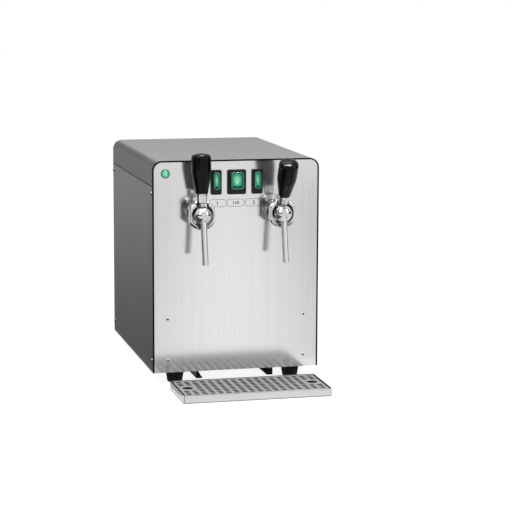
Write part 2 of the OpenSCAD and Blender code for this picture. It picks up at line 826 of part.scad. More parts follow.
// Side view of a rocker in Y and Z, upright, with its axis at the origin
module rocker_profile() {
    face = rocker_axis_y + collar_out - 0.4;
    dish_r = (rocker_h * rocker_h / 4 + rocker_dish * rocker_dish) / (2 * rocker_dish);
    difference() {
        union() {
            translate([-face, -rocker_h / 2]) square([face - rocker_axis_y + 1.2, rocker_h]);
            polygon([
                [-rocker_axis_y + 1, rocker_h / 2 - 3], [rocker_hub_d / 2, 0],
                [-rocker_axis_y + 1, -rocker_h / 2 + 3]
            ]);
            circle(d = rocker_hub_d);
        }
        translate([-face + rocker_dish - dish_r, 0]) circle(r = dish_r, $fn = 180);
    }
}

// A rocker stands with its upper end pressed in
module rocker(x, w, cap_w) {
    pin_l = cap_w - 2 * switch_body_t + 1.6;
    translate([x, rocker_axis_y, rocker_z]) rotate([-rocker_tilt, 0, 0]) {
        intersection() {
            along_x(-w / 2, w / 2) rocker_profile();
            along_y(-rocker_h, rocker_h) rounded_rect(w, rocker_h, min(rocker_r, w * 0.48));
        }
        rod_x(rocker_pin_d, -pin_l / 2, pin_l / 2, 32);
    }
}

module switch_cap(x, cap_w) {
    translate([x, 0, 0]) difference() {
        along_y(-cap_out, -0.6) translate([0, rocker_z]) rounded_rect(cap_w, cap_h, cap_r);
        along_y(-cap_out + cap_t, 0) translate([0, rocker_z])
            rounded_rect(cap_w - 2 * cap_t, cap_h - 2 * cap_t, cap_r - cap_t);
    }
}

module main_switch_frame() color("black") placed() switch_frame(0, main_frame_w, main_cap_w);
module main_switch_rocker() color("mediumseagreen") placed() rocker(0, main_rocker_w, main_cap_w);
module main_switch_cap() color([0.7, 0.9, 0.8, 0.4]) placed() switch_cap(0, main_cap_w);
module pump_1_switch_frame() color("black") placed()
    switch_frame(-switch_pitch, pump_frame_w, pump_cap_w);
module pump_1_switch_rocker() color("mediumseagreen") placed()
    rocker(-switch_pitch, pump_rocker_w, pump_cap_w);
module pump_1_switch_cap() color([0.7, 0.9, 0.8, 0.4]) placed() switch_cap(-switch_pitch, pump_cap_w);
module pump_2_switch_frame() color("black") placed()
    switch_frame(switch_pitch, pump_frame_w, pump_cap_w);
module pump_2_switch_rocker() color("mediumseagreen") placed()
    rocker(switch_pitch, pump_rocker_w, pump_cap_w);
module pump_2_switch_cap() color([0.7, 0.9, 0.8, 0.4]) placed() switch_cap(switch_pitch, pump_cap_w);

// TAPS
// Each piece is drawn around the tap's axis, which runs along Y through the panel

module tap_shank() {
    difference() {
        turned_y() polygon([
            [0, -shank_front], [shank_d / 2 - 1, -shank_front], [shank_d / 2, -shank_front + 1],
            [shank_d / 2, -tap_flange_t], [tap_flange_d / 2 - 1.5, -tap_flange_t],
            [tap_flange_d / 2, -1], [tap_flange_d / 2, 0], [shank_d / 2, 0],
            [shank_d / 2, shank_in], [tail_d / 2, shank_in], [tail_d / 2, shank_in + tail_l],
            [0, shank_in + tail_l]
        ]);
        rod_y(seat_d, -shank_front - 1, -seat_y + 1);
        rod_y(chamber_d, -seat_y, -seat_y + chamber_l);
        rod_y(port_bore, -seat_y, shank_in + tail_l + 1);
    }
}

module tap_body() {
    difference() {
        union() {
            rod_y(neck_d, -cup_back - 1, -body_back);
            intersection() {
                turned_y() polygon([
                    [0, -cup_front], [cup_d / 2 - cup_bevel, -cup_front],
                    [cup_d / 2, -cup_front + cup_bevel], [cup_d / 2, -cup_back - 1.5],
                    [cup_d / 2 - 1.5, -cup_back], [0, -cup_back]
                ]);
                translate([-cup_flats / 2, -cup_front - 1, -cup_d])
                    cube([cup_flats, cup_front - cup_back + 2, 2 * cup_d]);
            }
        }
        turned_y() polygon([
            [0, -cup_front - 1], [cup_bore_d / 2 + 1.8, -cup_front - 1],
            [cup_bore_d / 2, -cup_front + 0.8], [cup_bore_d / 2, -cup_back - cup_wall_t],
            [0, -cup_back - cup_wall_t]
        ]);
        rod_y(shank_d + press_gap, -shank_front - 0.1, -body_back + 1);
        rod_y(seat_d + 2, -cup_front, -body_back);
        // slot in which the lever swings
        translate([-cup_slot_w / 2, -cup_front - 1, neck_d / 2 - 2])
            cube([cup_slot_w, cup_front - cup_back + 4, cup_d]);
    }
}

module tap_ball() {
    slot_w = hub_w + 2 * lever_gap;
    hub_room = hub_d / 2 + 0.6;
    difference() {
        union() {
            translate([0, -ball_y, 0]) sphere(r = ball_r, $fn = 96);
            rod_y(ball_neck_d, -ball_y, -cup_back - cup_wall_t);
        }
        // flat back that stands on the cup's floor
        rod_y(2 * ball_d, -cup_back - cup_wall_t, 0);
        // guide of the plunger's head, open to the spout
        rod_y(2 * head_bore_r, -ball_y - spout_offset, -cup_back);
        // slot for the lever, open over the whole swing
        along_x(-slot_w / 2, slot_w / 2) polygon([
            [-pivot_y - hub_room, 0], [-pivot_y + hub_room, 0],
            [-pivot_y + hub_room + 1.5, ball_r + 1],
            [-pivot_y - hub_room - (ball_r + 1 - pivot_z) * tan(lever_open) - 1, ball_r + 1],
            [-pivot_y - hub_room - 1, pivot_z]
        ]);
        translate([0, -pivot_y, pivot_z]) rod_x(pivot_d, -ball_d, ball_d, 48);
        spout_axis() translate([0, 0, -ball_d]) cylinder(d = spout_d + press_gap, h = ball_d - 8);
        spout_axis() translate([0, 0, -ball_d]) cylinder(d = spout_d - 2 * spout_t, h = ball_d);
    }
}

// Frame of the spout: its axis is Z, and the tap's axis is crossed at z = 0
module spout_axis() {
    translate([0, -ball_y - spout_offset, 0]) rotate([-spout_lean, 0, 0]) children();
}

module tap_spout() {
    spout_axis() translate([0, 0, -spout_mouth]) difference() {
        cylinder(d = spout_d, h = spout_mouth - 8.1);
        translate([0, 0, -1]) cylinder(d = spout_d - 2 * spout_t, h = spout_mouth);
    }
}

// Plunger, moved back by travel when the lever is pulled
module tap_plunger(travel) {
    end_y = -pivot_y + arm_l * sin(-lever_closed);
    head_front = end_y - arm_end_d / 2 - 3;
    head_back = end_y + arm_end_d / 2 + 3;
    seal_front = -seat_y + seal_gap;
    slot = arm_end_d + 0.5;
    translate([0, travel, 0]) difference() {
        union() {
            rod_y(plunger_d, head_front, head_back, 48);
            rod_y(rod_d, head_back, seal_front, 48);
            rod_y(seal_d, seal_front, seal_front + seal_t, 48);
        }
        along_x(-arm_w / 2 - 0.3, arm_w / 2 + 0.3) polygon([
            [end_y - slot / 2, -plunger_d], [end_y + slot / 2, -plunger_d],
            [end_y + slot / 2, 1.4], [end_y + slot / 2 + 1.6, plunger_d],
            [end_y - slot / 2 - 2.4, plunger_d], [end_y - slot / 2, 1.4]
        ]);
    }
}

// Frame of a lever that leans forward by lean: its pin is X, and the stem rises along Z
module lever_axis(lean) {
    translate([0, -pivot_y, pivot_z]) rotate([lean, 0, 0]) children();
}

module tap_lever(lean) {
    lever_axis(lean) difference() {
        union() {
            rod_x(hub_d, -hub_w / 2, hub_w / 2);
            cylinder(d = stem_d, h = grip_from + grip_hole_l - 0.5);
            along_x(-arm_w / 2, arm_w / 2) {
                translate([-arm_t / 2, -arm_l]) square([arm_t, arm_l]);
                translate([0, -arm_l]) circle(d = arm_end_d, $fn = 48);
            }
        }
        rod_x(pivot_d + 2 * pivot_gap, -hub_w, hub_w, 48);
    }
}

module tap_ferrule(lean) {
    lever_axis(lean) rotate_extrude() polygon([
        [(stem_d + press_gap) / 2, ferrule_from], [ferrule_low_d / 2 - 1.2, ferrule_from],
        [ferrule_low_d / 2, ferrule_from + 1.2], [ferrule_top_d / 2, grip_from - 4],
        [ferrule_top_d / 2, grip_from], [(stem_d + press_gap) / 2, grip_from]
    ]);
}

// Half section of the grip: a taper, an arc, a straight end and a shallow dome
module grip_profile() {
    r = grip_d / 2;
    low = grip_low_d / 2;
    dome_lean = 20;
    dome_in = r - grip_corner * (1 - sin(dome_lean));
    dome_r = dome_in / sin(dome_lean);
    shoulder = grip_l - dome_r * (1 - cos(dome_lean)) - grip_corner * cos(dome_lean);
    blend_in = r - grip_blend_r * (1 - cos(grip_taper));
    blend_from = (blend_in - low) / tan(grip_taper);
    blend_to = blend_from + grip_blend_r * sin(grip_taper);
    square([low, shoulder + 1]);
    polygon([[0, 0], [low, 0], [blend_in, blend_from], [0, blend_from]]);
    intersection() {
        translate([r - grip_blend_r, blend_to]) circle(r = grip_blend_r, $fn = 360);
        translate([0, blend_from]) square([r, blend_to - blend_from]);
    }
    translate([0, blend_to]) square([r, shoulder - blend_to]);
    intersection() {
        translate([r - grip_corner, shoulder]) circle(r = grip_corner);
        translate([0, shoulder]) square([r, grip_corner]);
    }
    translate([0, shoulder]) square([r - grip_corner, grip_corner * cos(dome_lean)]);
    intersection() {
        translate([0, grip_l - dome_r]) circle(r = dome_r, $fn = 180);
        translate([0, shoulder]) square([dome_in, grip_l]);
    }
}

module tap_grip(lean) {
    lever_axis(lean) translate([0, 0, grip_from]) difference() {
        rotate_extrude() grip_profile();
        translate([0, 0, -1]) cylinder(d = stem_d + press_gap, h = grip_hole_l + 1);
    }
}

module tap_at(x) translate([x, 0, tap_z]) children();

module tap_left_shank() color("gainsboro") placed() tap_at(tap_xs[0]) tap_shank();
module tap_left_body() color("gainsboro") placed() tap_at(tap_xs[0]) tap_body();
module tap_left_ball() color("gainsboro") placed() tap_at(tap_xs[0]) tap_ball();
module tap_left_spout() color("gainsboro") placed() tap_at(tap_xs[0]) tap_spout();
module tap_left_plunger() color("silver") placed() tap_at(tap_xs[0]) tap_plunger(0);
module tap_left_lever() color("silver") placed() tap_at(tap_xs[0]) tap_lever(-lever_closed);
module tap_left_ferrule() color("gainsboro") placed() tap_at(tap_xs[0]) tap_ferrule(-lever_closed);
module tap_left_grip() color("black") placed() tap_at(tap_xs[0]) tap_grip(-lever_closed);
module tap_right_shank() color("gainsboro") placed() tap_at(tap_xs[1]) tap_shank();
module tap_right_body() color("gainsboro") placed() tap_at(tap_xs[1]) tap_body();
module tap_right_ball() color("gainsboro") placed() tap_at(tap_xs[1]) tap_ball();
module tap_right_spout() color("gainsboro") placed() tap_at(tap_xs[1]) tap_spout();
module tap_right_plunger() color("silver") placed() tap_at(tap_xs[1]) tap_plunger(plunger_travel);
module tap_right_lever() color("silver") placed() tap_at(tap_xs[1]) tap_lever(lever_open);
module tap_right_ferrule() color("gainsboro") placed() tap_at(tap_xs[1]) tap_ferrule(lever_open);
module tap_right_grip() color("black") placed() tap_at(tap_xs[1]) tap_grip(lever_open);

module tap_lock_nuts() color("silver") placed() for (x = tap_xs) tap_at(x) difference() {
    union() {
        rod_y(shank_d + 8, panel_t, panel_t + 7, 6);
        rod_y(tap_flange_d - 2, panel_t, panel_t + 1.2);
    }
    rod_y(shank_d + press_gap, panel_t - 1, panel_t + 8);
}

module tap_pivot_pins() color("silver") placed() for (x = tap_xs) tap_at(x)
    translate([0, -pivot_y, pivot_z]) {
        l = 2 * sqrt(ball_r * ball_r - (ball_y - pivot_y) * (ball_y - pivot_y)
            - (pivot_z + pivot_d / 2) * (pivot_z + pivot_d / 2));
        rod_x(pivot_d, -l / 2, l / 2, 48);
    }

// HEATER

module heater_tank() color("silver") placed() {
    difference() {
        union() {
            translate([0, tank_y, 0]) rotate_extrude($fn = 128) tank_profile(0);
            for (a = [90, 210, 330]) translate([0, tank_y, 0]) rotate([0, 0, a])
                translate([tank_leg_circle, 0, floor_z]) cylinder(d = tank_leg_d, h = tank_leg_h + 1);
            for (x = tap_xs) translate([x, tank_port_y, tank_top - 1]) {
                cylinder(d = tail_d, h = tail_l + 1);
                cylinder(d = boss_d, h = 1 + hose_end_gap - 0.3);
            }
            for (s = [-1, 1]) translate([s * inlet_pitch / 2, 0, inlet_z])
                rod_y(boss_d, tank_y, pump_front);
        }
        translate([0, tank_y, 0]) rotate_extrude($fn = 128) tank_profile(tank_t);
        for (x = tap_xs) translate([x, tank_port_y, tank_top - 5])
            cylinder(d = port_bore, h = tail_l + 6);
        for (s = [-1, 1]) translate([s * inlet_pitch / 2, 0, inlet_z])
            rod_y(port_bore, tank_y, pump_front + 1);
        translate([0, tank_y, tank_top - tank_t - 1]) cylinder(d = element_hole_d, h = tank_t + 2);
    }
}

// Half section of the tank, drawn in by inset
module tank_profile(inset) {
    w = tank_r - inset;
    lo = tank_bottom + inset;
    hi = tank_top - inset;
    e = tank_edge_r - inset;
    translate([0, lo + e]) square([w, hi - lo - 2 * e]);
    translate([0, lo]) square([w - e, hi - lo]);
    intersection() {
        for (z = [lo + e, hi - e]) translate([w - e, z]) circle(r = e);
        translate([0, lo]) square([w, hi - lo]);
    }
}

module heating_element() color("dimgray") placed() translate([0, tank_y, 0]) {
    low = tank_bottom + tank_t + element_floor_gap + element_bend_r + element_tube_d / 2;
    difference() {
        union() {
            translate([0, 0, tank_top]) cylinder(d = element_flange_d, h = element_flange_t);
            translate([0, 0, tank_top - tank_t - 3]) cylinder(d = element_hole_d - 0.4, h = tank_t + 4);
        }
        // the flange's rim stays clear of the thermostat
        translate([0, 0, tank_top + element_flange_t - 2]) cylinder(d = element_hole_d - 8, h = 3);
    }
    for (s = [-1, 1]) translate([s * element_pitch / 2, 0, 0]) {
        for (e = [-1, 1]) {
            translate([0, e * element_bend_r, low])
                cylinder(d = element_tube_d, h = tank_top - tank_t - 2.5 - low, $fn = 48);
            translate([0, e * element_bend_r, tank_top + element_flange_t - 3])
                cylinder(d = 4, h = 12, $fn = 32);
        }
        translate([0, 0, low]) rotate([0, 90, 0]) rotate([0, 0, -90])
            rotate_extrude(angle = 180) translate([element_bend_r, 0]) circle(d = element_tube_d, $fn = 48);
    }
}

module thermostat() color("tan") placed()
    translate([0, tank_y + (element_flange_d + thermostat_d) / 2 + 6, tank_top]) {
        cylinder(d = thermostat_d, h = thermostat_h);
        for (s = [-1, 1]) translate([s * 4 - 0.4, -3, thermostat_h - 1]) cube([0.8, 6, 9]);
    }

// PUMPS, HOSES AND FITTINGS

module pump() translate([inlet_pitch / 2, pump_y, inlet_z]) {
    inner = pump_head_w / 2;
    plate = inner + pump_plate_t;
    below = inlet_z - floor_z;
    difference() {
        union() {
            rod_x(pump_head_d, -inner, inner);
            translate([inner, -pump_plate / 2, -pump_plate / 2]) cube([pump_plate_t, pump_plate, pump_plate]);
            rod_x(motor_d, plate, plate + motor_l);
            rod_x(motor_d * 0.6, plate + motor_l, plate + motor_l + 3);
            rod_y(boss_d, -pump_reach, pump_reach);
            rod_y(tail_d, pump_reach, pump_reach + tail_l - 3);
            // foot plate and saddle
            translate([-inner, -pump_plate / 2, -below]) cube([plate + motor_l, pump_plate, 3]);
            translate([inner, -pump_plate / 4, -below])
                cube([plate - inner + motor_l * 0.8, pump_plate / 2, below - motor_d / 4]);
        }
        rod_y(port_bore, -pump_reach - 1, -4);
        rod_y(port_bore, 4, pump_reach + tail_l);
    }
}

module pump_1() color("slategray") placed() mirror([1, 0, 0]) pump();
module pump_2() color("slategray") placed() pump();

module inlet_hoses() color("white") placed() for (s = [-1, 1])
    translate([s * inlet_pitch / 2, 0, inlet_z]) difference() {
        rod_y(hose_d, pump_y + pump_reach + hose_end_gap, sheet_back - inlet_hex_t - hose_end_gap);
        rod_y(tail_d + 2 * hose_gap, pump_y, body_d);
    }

module inlet_fittings() color("gainsboro") placed() for (s = [-1, 1])
    translate([s * inlet_pitch / 2, 0, inlet_z]) difference() {
        union() {
            rod_y(inlet_flats / cos(30), body_d, body_d + inlet_hex_t, 6);
            rod_y(spigot_d, body_d + inlet_hex_t, body_d + inlet_hex_t + spigot_l);
            rod_y(inlet_bolt_d, sheet_back - inlet_hex_t, body_d);
            rod_y(inlet_flats / cos(30), sheet_back - inlet_hex_t + 1, sheet_back - 0.05, 6);
            rod_y(tail_d, sheet_back - inlet_hex_t - tail_l, sheet_back - inlet_hex_t);
        }
        rod_y(port_bore, pump_y, rear_end + 1);
    }

// Hose from the tank's upper port to the shank's tail
module hot_hose() {
    mid_y = tank_port_y - hose_bend_r;
    mid_z = tap_z - hose_bend_r;
    bore = tail_d + 2 * hose_gap;
    translate([tap_pitch / 2, 0, 0]) {
        translate([0, 0, tap_z]) difference() {
            rod_y(hose_d, shank_in + hose_end_gap, mid_y);
            rod_y(bore, shank_in, mid_y + 1);
        }
        translate([0, mid_y, mid_z]) rotate([90, 0, 90]) rotate_extrude(angle = 90)
            translate([hose_bend_r, 0]) tube_ring(hose_d, bore);
        translate([0, tank_port_y, 0]) difference() {
            translate([0, 0, tank_top + hose_end_gap]) cylinder(d = hose_d, h = mid_z - tank_top - hose_end_gap);
            translate([0, 0, tank_top]) cylinder(d = bore, h = mid_z - tank_top + 1);
        }
    }
}

module hot_hose_left() color("white") placed() mirror([1, 0, 0]) hot_hose();
module hot_hose_right() color("white") placed() hot_hose();

// ELECTRICS

module terminal_block() color("ivory") placed()
    translate([-half_w + terminal_x, terminal_y, floor_z]) difference() {
        union() {
            translate([-terminal_w / 2, -terminal_l / 2, 0]) cube([terminal_w, terminal_l, terminal_h * 0.6]);
            translate([-terminal_w / 4, -terminal_l / 2, 0]) cube([terminal_w / 2, terminal_l, terminal_h]);
        }
        for (i = [0:terminal_n - 1]) {
            y = (i - (terminal_n - 1) / 2) * (terminal_l - 10) / terminal_n;
            translate([0, y, terminal_h - 6]) cylinder(d = 4, h = 7, $fn = 32);
            translate([0, y, terminal_h * 0.4]) rod_x(3.5, -terminal_w, terminal_w, 32);
        }
    }

// Quarter bend of the wiring bundle around the origin, from +X to +Y
module loom_bend() rotate_extrude(angle = 90) translate([loom_r, 0]) circle(d = loom_d, $fn = 32);

// The same bend in the YZ plane, turned from +Y towards +Z
module loom_bend_yz(turn) rotate([turn, 0, 0]) rotate([90, 0, 90]) loom_bend();

module wiring_loom() color("darkorange") placed() {
    x = -half_w + terminal_x;
    z0 = floor_z + terminal_h * 0.5;
    z1 = rocker_z;
    y_block = terminal_y - terminal_l / 2;
    x_end = switch_pitch;
    y_rear = terminal_y + terminal_l / 2;
    y_drop = y_rear + 20;
    // forward from the block, up beside the lamp and across behind the switches
    translate([x, 0, z0]) rod_y(loom_d, loom_y + loom_r, y_block, 32);
    translate([x, loom_y + loom_r, z0 + loom_r]) loom_bend_yz(180);
    translate([x, loom_y, z0 + loom_r]) cylinder(d = loom_d, h = z1 - z0 - 2 * loom_r, $fn = 32);
    translate([x + loom_r, loom_y, z1 - loom_r]) rotate([0, -90, 0]) rotate([90, 0, 0]) loom_bend();
    translate([0, loom_y, z1]) rod_x(loom_d, x + loom_r, x_end + loom_d / 2, 32);
    for (i = [-1:1]) translate([i * switch_pitch, 0, z1]) rod_y(loom_d - 2, switch_body_l, loom_y, 32);
    // back from the block, up and out to the gland
    translate([x, 0, z0]) rod_y(loom_d, y_rear, y_drop - loom_r, 32);
    translate([x, y_drop - loom_r, z0 + loom_r]) loom_bend_yz(270);
    translate([x, y_drop, z0 + loom_r]) cylinder(d = loom_d, h = gland_z - z0 - 2 * loom_r, $fn = 32);
    translate([x, y_drop + loom_r, gland_z - loom_r]) loom_bend_yz(90);
    translate([x, 0, gland_z]) rod_y(loom_d, y_drop + loom_r, sheet_back - 9, 32);
}

module cable_gland() color("black") placed() translate([gland_x, 0, gland_z]) difference() {
    union() {
        rod_y(gland_flats / cos(30), body_d, body_d + 7, 6);
        turned_y() polygon([
            [0, body_d + 7], [gland_flats / 2 - 1, body_d + 7], [gland_flats / 2 - 1, body_d + gland_l - 8],
            [gland_bore / 2 + 3, body_d + gland_l], [0, body_d + gland_l]
        ]);
        rod_y(gland_thread_d, sheet_back - 9, body_d);
        rod_y(gland_flats / cos(30), sheet_back - 5, sheet_back - 0.05, 6);
    }
    rod_y(gland_bore, sheet_back - 10, body_d + gland_l + 1);
}

// DRIP TRAY

module drip_pan() color("gainsboro") placed() translate([pan_shift, pan_mid, 0]) difference() {
    linear_extrude(height = pan_h) rounded_rect(pan_w, pan_l, pan_r);
    translate([0, 0, pan_t]) linear_extrude(height = pan_h)
        rounded_rect(pan_w - 2 * pan_t, pan_l - 2 * pan_t, pan_r - pan_t);
}

module drip_grate() color("silver") placed() translate([pan_shift, pan_mid, 0]) {
    w = pan_w - 2 * (pan_t + grate_gap_x);
    l = pan_l - 2 * (pan_t + grate_gap_y);
    r = pan_r - pan_t - grate_gap_y;
    low = pan_t + grate_seat_gap;
    finger_x = (hole_cols - 2) / 2 * hole_pitch_x;
    difference() {
        union() {
            translate([0, 0, grate_top - grate_t]) linear_extrude(height = grate_t) rounded_rect(w, l, r);
            // folded front and rear edges
            for (s = [-1, 1]) mirror([0, s > 0 ? 0 : 1, 0])
                translate([-w / 2 + r, l / 2 - grate_t, low]) cube([w - 2 * r, grate_t, grate_top - low]);
        }
        for (i = [0:hole_cols - 1], j = [0:hole_rows - 1]) {
            x = (i - (hole_cols - 1) / 2) * hole_pitch_x;
            y = (j - (hole_rows - 1) / 2) * hole_pitch_y;
            at_finger = abs(x) > finger_x - hole_pitch_x && abs(y) < 1.5 * hole_pitch_y;
            if (!at_finger) translate([x - hole_w / 2, y - hole_l / 2, grate_top - grate_t - 1])
                cube([hole_w, hole_l, grate_t + 2]);
        }
        for (s = [-1, 1]) translate([s * finger_x, 0, grate_top - grate_t - 1])
            cylinder(d = finger_d, h = grate_t + 2);
    }
}

base_pan();
front_frame();
front_panel();
front_trim();
top_cover();
side_panel_left();
side_panel_right();
rear_panel();
rubber_feet();
foot_screws();
base_rails();
front_screws();
housing_screws();
lamp_holder();
lamp_lens();
main_switch_frame();
main_switch_rocker();
main_switch_cap();
pump_1_switch_frame();
pump_1_switch_rocker();
pump_1_switch_cap();
pump_2_switch_frame();
pump_2_switch_rocker();
pump_2_switch_cap();
tap_left_shank();
tap_left_body();
tap_left_ball();
tap_left_spout();
tap_left_plunger();
tap_left_lever();
tap_left_ferrule();
tap_left_grip();
tap_right_shank();
tap_right_body();
tap_right_ball();
tap_right_spout();
tap_right_plunger();
tap_right_lever();
tap_right_ferrule();
tap_right_grip();
tap_lock_nuts();
tap_pivot_pins();
heater_tank();
heating_element();
thermostat();
pump_1();
pump_2();
inlet_hoses();
hot_hose_left();
hot_hose_right();
inlet_fittings();
terminal_block();
wiring_loom();
cable_gland();
drip_pan();
drip_grate();
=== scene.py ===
"""Finishes, small pieces, studio and camera for a two-tap hot drink dispenser."""

import json
import math

import bmesh
import bpy
from bpy.props import FloatProperty, FloatVectorProperty, PointerProperty
from mathutils import Matrix, Vector

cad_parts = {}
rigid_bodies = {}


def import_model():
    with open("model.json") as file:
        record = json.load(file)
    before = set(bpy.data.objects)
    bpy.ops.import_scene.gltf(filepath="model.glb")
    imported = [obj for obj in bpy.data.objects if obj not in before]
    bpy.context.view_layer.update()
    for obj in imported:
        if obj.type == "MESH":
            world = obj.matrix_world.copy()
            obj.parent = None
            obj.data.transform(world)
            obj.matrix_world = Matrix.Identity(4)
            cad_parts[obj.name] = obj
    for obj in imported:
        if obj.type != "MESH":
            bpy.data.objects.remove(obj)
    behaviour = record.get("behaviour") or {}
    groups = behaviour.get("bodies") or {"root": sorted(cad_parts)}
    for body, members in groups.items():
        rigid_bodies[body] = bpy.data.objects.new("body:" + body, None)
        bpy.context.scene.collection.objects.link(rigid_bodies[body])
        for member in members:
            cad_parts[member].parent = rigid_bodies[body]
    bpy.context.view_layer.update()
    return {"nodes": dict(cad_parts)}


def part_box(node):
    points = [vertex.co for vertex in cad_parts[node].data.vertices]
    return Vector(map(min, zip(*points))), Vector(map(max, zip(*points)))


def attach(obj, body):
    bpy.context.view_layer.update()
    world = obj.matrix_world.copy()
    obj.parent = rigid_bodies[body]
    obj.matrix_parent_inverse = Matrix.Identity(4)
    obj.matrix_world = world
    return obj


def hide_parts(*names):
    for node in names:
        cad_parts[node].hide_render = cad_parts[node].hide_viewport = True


bl_info = {
    "name": "Hot drink dispenser",
    "version": (1, 0, 0),
    "blender": (4, 5, 0),
    "location": "View3D > Sidebar > Dispenser",
    "description": "Dresses a two-tap hot drink dispenser with finishes, small pieces and a studio",
    "category": "Object",
}

MM = 0.001
# A switch's clear cap: its corner radius, its wall and the radius of its front edge
CAP_RADIUS = 4.6 * MM
CAP_WALL = 0.9 * MM
CAP_FILLET = 2.2 * MM
# Thickness of a printed film
FILM = 0.06 * MM
# A tap cup, from its axis: its bore, inside which shade is painted, and where the painted dark
# reflection round its outer rim begins
CUP_BORE = 18.6 * MM
CUP_RIM = 24.4 * MM
# The bead round a tap cup's mouth: its inner and outer radius, the cup's flats, its rise, the angle
# from upright, in degrees, at which it starts and ends, and its steps along and across
BEAD_INNER = 18.7 * MM
BEAD_OUTER = 24.6 * MM
BEAD_FLAT = 21.4 * MM
BEAD_RISE = 1.8 * MM
BEAD_START = 33
BEAD_STEPS = 96
BEAD_PARTS = 8
# The wide rocker: its axis in Y and Z, its face from that axis, the depth and the radius of its
# hollow, and its tilt in degrees
ROCKER_AXIS = (-137.5 * MM, 360.6 * MM)
ROCKER_FACE = -11.1 * MM
ROCKER_DISH = 1.1 * MM
ROCKER_BOW = 56.55 * MM
ROCKER_TILT = 7
# The marks on it: their line, the foot and top of the I, and the middle and radius of the O
ROCKER_LINE = 0.8 * MM
ROCKER_ON = (3.4 * MM, 7.2 * MM)
ROCKER_OFF = (-4.6 * MM, 1.7 * MM)
# The lit part of each rocker: its width, and the dim border round it
ROCKER_LIGHT = {
    "main": (17 * MM, 0.9 * MM),
    "pump_1": (8.2 * MM, 0.4 * MM),
    "pump_2": (8.2 * MM, 0.4 * MM),
}
# The printed labels: their middles in X and Z, their size, corner radius and line, and the line and
# half the height of the marks in them
LABEL_PLACES = {"1": -34.0 * MM, "main": -1.3 * MM, "2": 31.5 * MM}
LABEL_LEVEL = 320.9 * MM
LABEL_WIDTH = 30.5 * MM
LABEL_HEIGHT = 12.8 * MM
LABEL_RADIUS = 4.2 * MM
LABEL_LINE = 0.7 * MM
MARK_LINE = 1.2 * MM
MARK_HALF = 2.7 * MM
# The hose tails: their distance from the middle in X, how far before their ends the barbs start,
# and the barbs' number, pitch and radii
TAIL_PLACE = 52 * MM
BARB_START = 20 * MM
BARB_COUNT = 4
BARB_PITCH = 4.2 * MM
BARB_ROOT = 6 * MM
BARB_LOW = 6.5 * MM
BARB_HIGH = 7.5 * MM
# The cable gland's grip ribs: their number, the nut's radius, and how far before the gland's tip
# they start and end
RIB_COUNT = 20
RIB_RADIUS = 11 * MM
RIB_START = 18.5 * MM
RIB_END = 8.5 * MM

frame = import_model()
PANEL_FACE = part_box("front_panel")[0][1]


def screen_colour(red, green, blue):
    """The linear colour of a screen colour given in steps from 0 to 255."""
    def linear(step):
        share = step / 255
        return share / 12.92 if share <= 0.04045 else ((share + 0.055) / 1.055) ** 2.4

    return linear(red), linear(green), linear(blue)


def colour_property(name, description, default):
    return FloatVectorProperty(
        name=name, description=description, subtype="COLOR", size=3, min=0, max=1, default=default
    )


def share_property(name, description, default):
    return FloatProperty(
        name=name, description=description, subtype="FACTOR", min=0, max=1, default=default
    )


class Value:
    """A shader socket that can be used in Python sums."""

    def __init__(self, finish, socket):
        self.finish = finish
        self.socket = socket

    def math(self, operation, *operands):
        return self.finish.math(operation, self, *operands)

    def __add__(self, other):
        return self.math("ADD", other)

    def __radd__(self, other):
        return self.finish.math("ADD", other, self)

    def __sub__(self, other):
        return self.math("SUBTRACT", other)

    def __rsub__(self, other):
        return self.finish.math("SUBTRACT", other, self)

    def __mul__(self, other):
        return self.math("MULTIPLY", other)

    def __rmul__(self, other):
        return self.finish.math("MULTIPLY", other, self)

    def __truediv__(self, other):
        return self.math("DIVIDE", other)

    def __pow__(self, other):
        return self.math("POWER", other)

    def __abs__(self):
        return self.math("ABSOLUTE")

    def clamped(self):
        return self.math("MAXIMUM", 0.0).math("MINIMUM", 1.0)

    def ramp(self, start, end):
        """0 below start and 1 above end, with a soft step between them."""
        return self.finish.node(
            "ShaderNodeMapRange",
            {"interpolation_type": "SMOOTHSTEP"},
            {"Value": self, "From Min": start, "From Max": end},
        )


